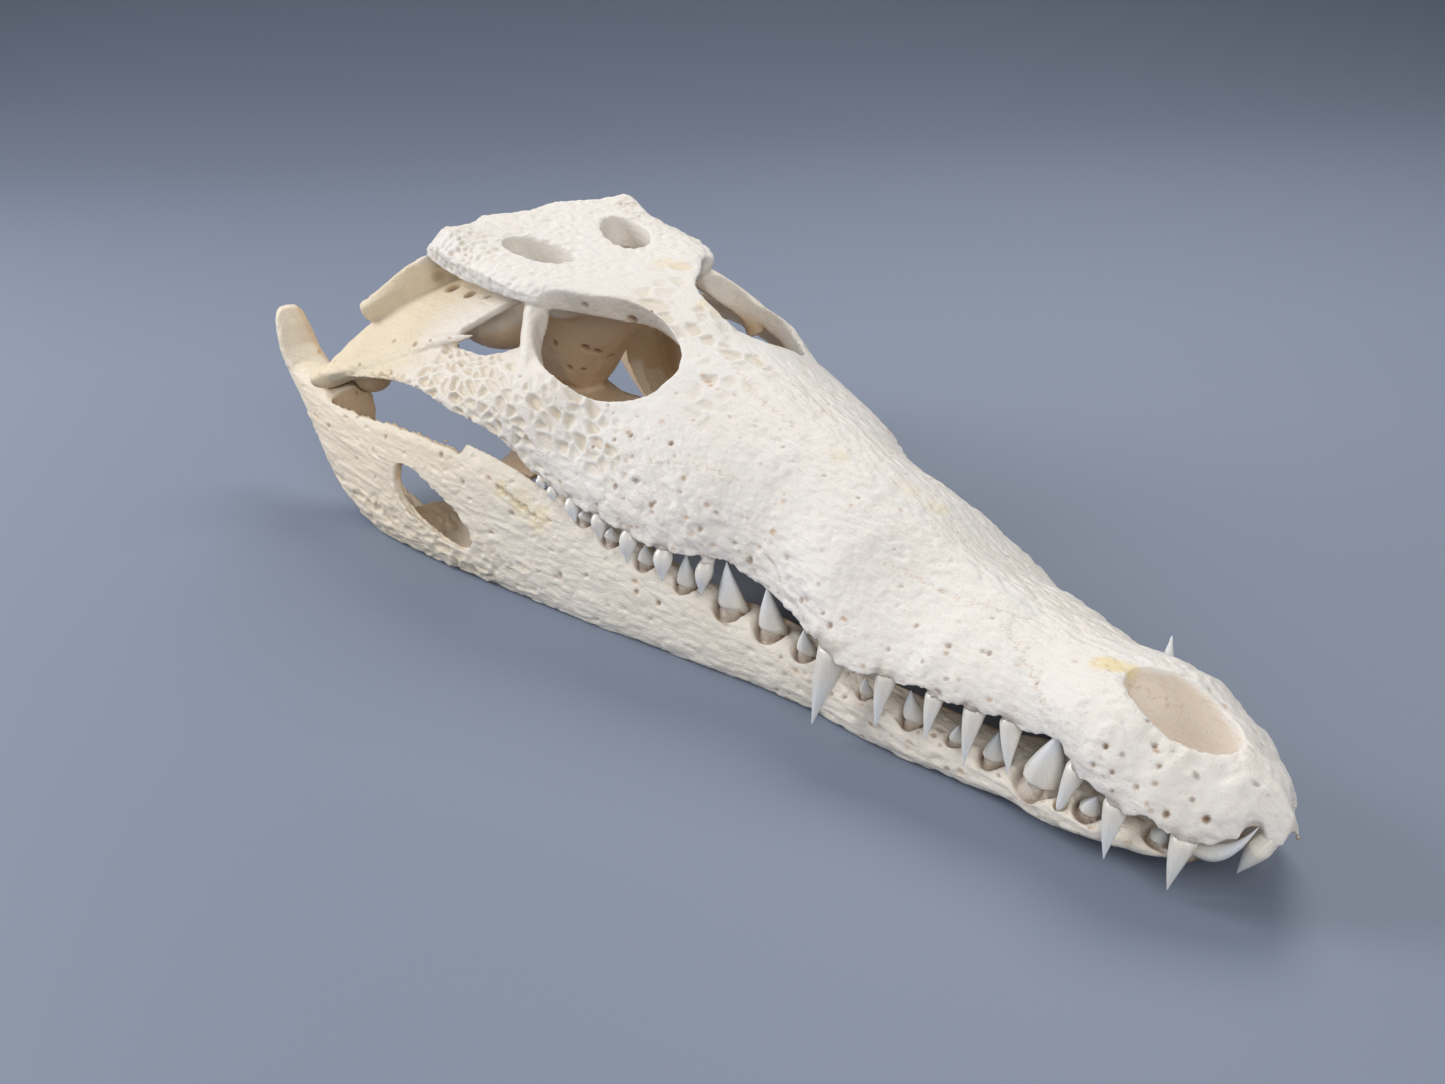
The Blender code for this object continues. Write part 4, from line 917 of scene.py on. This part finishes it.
def new_material(name):
    material = bpy.data.materials.new(name)
    material.use_nodes = True
    return material, Nodes(material.node_tree), material.node_tree.nodes["Principled BSDF"]


def bone_material(name, group, **colours):
    material, n, shader = new_material(name)
    aged = n.add("ShaderNodeGroup", node_tree=group, inputs=colours)
    bump = n.add("ShaderNodeBump", inputs={
        "Strength": 0.6, "Distance": 0.0006, "Height": aged.outputs["Height"]})
    n.feed(shader, {"Base Color": aged.outputs["Colour"],
                    "Roughness": aged.outputs["Roughness"], "Normal": bump.outputs["Normal"]})
    shader.inputs["Specular IOR Level"].default_value = 0.35
    shader.inputs["Subsurface Weight"].default_value = 0.10
    shader.inputs["Subsurface Radius"].default_value = (1.0, 0.6, 0.35)
    shader.inputs["Subsurface Scale"].default_value = 0.002
    return material


def tooth_material():
    """Glossy enamel: creamy at the gum, cool and milky toward the tip, finely fluted."""
    material, n, shader = new_material("tooth_enamel")
    place = n.add("ShaderNodeTexCoord").outputs["Object"]
    long_way = n.add("ShaderNodeMapping", inputs={"Vector": place, "Scale": (1, 1, 0.18)})
    cloud = n.noise(place, 160.0, 3.0)
    lines = n.noise(long_way.outputs[0], 1400.0, 2.0)
    crown = n.mask("crown")
    tone = n.mix(n.ramp(crown, 0.0, 0.75), (0.80, 0.75, 0.66, 1), (0.76, 0.78, 0.80, 1))
    colour = n.mix(n.times(n.ramp(cloud, 0.42, 0.70), 0.5), tone, (0.74, 0.69, 0.60, 1))
    bump = n.add("ShaderNodeBump", inputs={"Strength": 0.15, "Distance": 0.0003, "Height": lines})
    rough = n.math("ADD", 0.18, n.times(lines, 0.18))
    n.feed(shader, {"Base Color": colour, "Roughness": rough, "Normal": bump.outputs["Normal"]})
    shader.inputs["Subsurface Weight"].default_value = 0.3
    shader.inputs["Subsurface Radius"].default_value = (1.0, 0.9, 0.8)
    shader.inputs["Subsurface Scale"].default_value = 0.002
    return material


# Stage

# The card's colour darkens toward the back as painted shade, standing in for light falling off.
FLOOR_NEAR = (0.202, 0.237, 0.310, 1)
FLOOR_SHADED_FAR = (0.080, 0.096, 0.134, 1)
FLOOR_SHADE_FADE = (0.20, 1.10)  # metres behind the skull over which the card darkens
FLOOR_HALF_WIDTH = 3.0
FLOOR_LENGTH = 3.2
FLOOR_START = -1.4
FLOOR_FLAT_END = 0.55
SKY_COLOUR = (0.86, 0.91, 1.0, 1)
SKY_STRENGTH = 0.30
# Round lamps: name, place, point aimed at, size, watts, colour
LAMPS = (
    ("overhead", (-0.25, 0.42, 0.62), (0.0, 0.0, 0.03), 0.45, 3.0, (1.0, 0.98, 0.95)),
    ("left_fill", (-0.65, -0.50, 0.45), (0.0, 0.0, 0.03), 0.5, 6.2, (0.98, 0.98, 1.0)),
    ("front_fill", (0.75, -0.35, 0.5), (0.05, 0.0, 0.03), 0.6, 4.0, (1.0, 0.98, 0.96)),
)


def floor_material():
    """Matt blue grey card, with painted shade darkening it toward the back."""
    material, n, shader = new_material("floor_card")
    place = n.add("ShaderNodeTexCoord").outputs["Object"]
    falloff_shade = n.ramp(n.add("ShaderNodeSeparateXYZ", inputs={0: place}).outputs["Y"], *FLOOR_SHADE_FADE)
    n.feed(shader, {"Base Color": n.mix(falloff_shade, FLOOR_NEAR, FLOOR_SHADED_FAR)})
    shader.inputs["Roughness"].default_value = 0.65
    return material


def lay_floor():
    """A wide card floor that curves up far behind the skull."""
    bm = bmesh.new()
    bmesh.ops.create_grid(bm, x_segments=2, y_segments=60, size=1.0)
    for v in bm.verts:
        run = (v.co.y + 1) * FLOOR_LENGTH / 2 + FLOOR_START
        rise = max(0.0, run - FLOOR_FLAT_END)
        back = run if rise == 0 else FLOOR_FLAT_END + rise * 0.8
        v.co = Vector((v.co.x * FLOOR_HALF_WIDTH, back, rise * rise * 0.45))
    mesh = bpy.data.meshes.new("floor")
    bm.to_mesh(mesh)
    bm.free()
    mesh.shade_smooth()
    mesh.materials.append(floor_material())
    floor = link(bpy.data.objects.new("floor", mesh))
    floor.rotation_euler.z = math.radians(CAMERA_TURN[2])


def add_light(name, place, aim, size, watts, colour):
    lamp = bpy.data.lights.new(name, "AREA")
    lamp.shape = "DISK"
    lamp.size = size
    lamp.energy = watts
    lamp.color = colour
    thing = link(bpy.data.objects.new(name, lamp))
    thing.location = place
    thing.rotation_euler = (Vector(aim) - Vector(place)).to_track_quat("-Z", "Y").to_euler()


def set_camera():
    eye = bpy.data.cameras.new("photo_view")
    eye.sensor_width = SENSOR
    eye.lens = SENSOR * FOCAL_PIXELS / IMAGE_WIDTH
    eye.clip_start = 0.01
    thing = link(bpy.data.objects.new("photo_view", eye))
    pitch, roll, heading = (math.radians(a) for a in CAMERA_TURN)
    turn = Matrix.Rotation(heading, 4, "Z") @ Matrix.Rotation(pitch, 4, "X")
    thing.matrix_world = Matrix.Translation(CAMERA_PLACE) @ turn @ Matrix.Rotation(roll, 4, "Z")
    bpy.context.scene.camera = thing


def light_stage():
    world = bpy.data.worlds.new("studio")
    bpy.context.scene.world = world
    world.use_nodes = True
    sky = world.node_tree.nodes["Background"]
    sky.inputs["Color"].default_value = SKY_COLOUR
    sky.inputs["Strength"].default_value = SKY_STRENGTH
    for lamp in LAMPS:
        add_light(*lamp)
    bpy.context.scene.view_settings.view_transform = "Standard"
    bpy.context.scene.view_settings.exposure = 0.0


# The skull

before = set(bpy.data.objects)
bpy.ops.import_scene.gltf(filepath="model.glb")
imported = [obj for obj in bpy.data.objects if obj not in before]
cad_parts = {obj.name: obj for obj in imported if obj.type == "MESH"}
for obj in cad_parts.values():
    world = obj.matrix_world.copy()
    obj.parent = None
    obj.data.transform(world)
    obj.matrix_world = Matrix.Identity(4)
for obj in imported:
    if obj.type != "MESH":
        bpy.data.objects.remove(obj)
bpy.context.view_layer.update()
set_camera()
bone_look = aged_bone_group()
skull_bone = bone_material("skull_bone", bone_look)
jaw_bone = bone_material("jaw_bone", bone_look, Clean=(0.84, 0.78, 0.69, 1))
enamel = tooth_material()
teeth = {"right": teeth_of(-1), "left": teeth_of(1)}

cranium = fused("cranium", ["snout", "skull_roof", "braincase", "cheek_right", "cheek_left",
                            "palate"], brow_patch, (-1, 1), SWELL)
cranium.settle(SWELL)
cranium.masks["skin"] = outward(cranium)
# Inner faces and undersides below the tooth margin get a tan stain with painted shade, less toward
# the snout's front.
cranium.masks["inner"] = np.maximum(cranium.inside, 0.6 * (1 - step(-0.5, 0.0, cranium.rise)))
# A cream tone of the rear bones, which also paints shade on everything below the height of the skull
# table's top.
below_table = 1 - step(26, 28, cranium.z)
cranium.masks["cream_and_shade"] = 0.80 * (1 - step(-4, 9, cranium.x)) * below_table
cranium.masks["cream_and_shade"] += 0.30 * (1 - step(16, 34, cranium.x)) * below_table
cranium.masks["inner"] *= 1 - 0.55 * step(70, 82, cranium.x)
lift = cranium.blurred(cranium_relief(cranium), 1)
cranium.points += cranium.normals * lift[:, None]
set_sockets(cranium, "upper", teeth["right"] + teeth["left"])
cranium.refresh()
pieces = part_cranium(finished_bm(cranium), skull_bone)

for side, sign in (("right", -1), ("left", 1)):
    jaw = fused(f"jaw_{side}", [f"jaw_{side}"], rim_plate, (sign,), JAW_SWELL)
    jaw.settle(JAW_SWELL)
    lift = jaw.blurred(jaw_relief(jaw), 1)
    # The jaw's inner faces get a tan stain with painted shade.
    jaw.masks["inner"] = 1 - jaw.masks["skin"]
    # A cream tone, which also paints shade toward the jaw's rear.
    jaw.masks["cream_and_shade"] = 0.12 + 0.50 * (1 - step(2, 32, jaw.x))
    jaw.points += jaw.normals * lift[:, None]
    set_sockets(jaw, "lower", teeth[side])
    jaw.points[:, 2] = np.maximum(jaw.points[:, 2], 0.0)
    jaw.refresh()
    front, rear = parted(finished_bm(jaw), *slanted(JAW_CUT))
    for name, body in (("dentary", front), ("angular", rear)):
        pieces.append(bone_piece(body, f"{name}_{side}_bone", jaw_bone))
        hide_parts(f"jaw_{side}")
    pieces += build_teeth(teeth[side], side, enamel)

for piece in pieces:
    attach(piece, "root")

lay_floor()
light_stage()
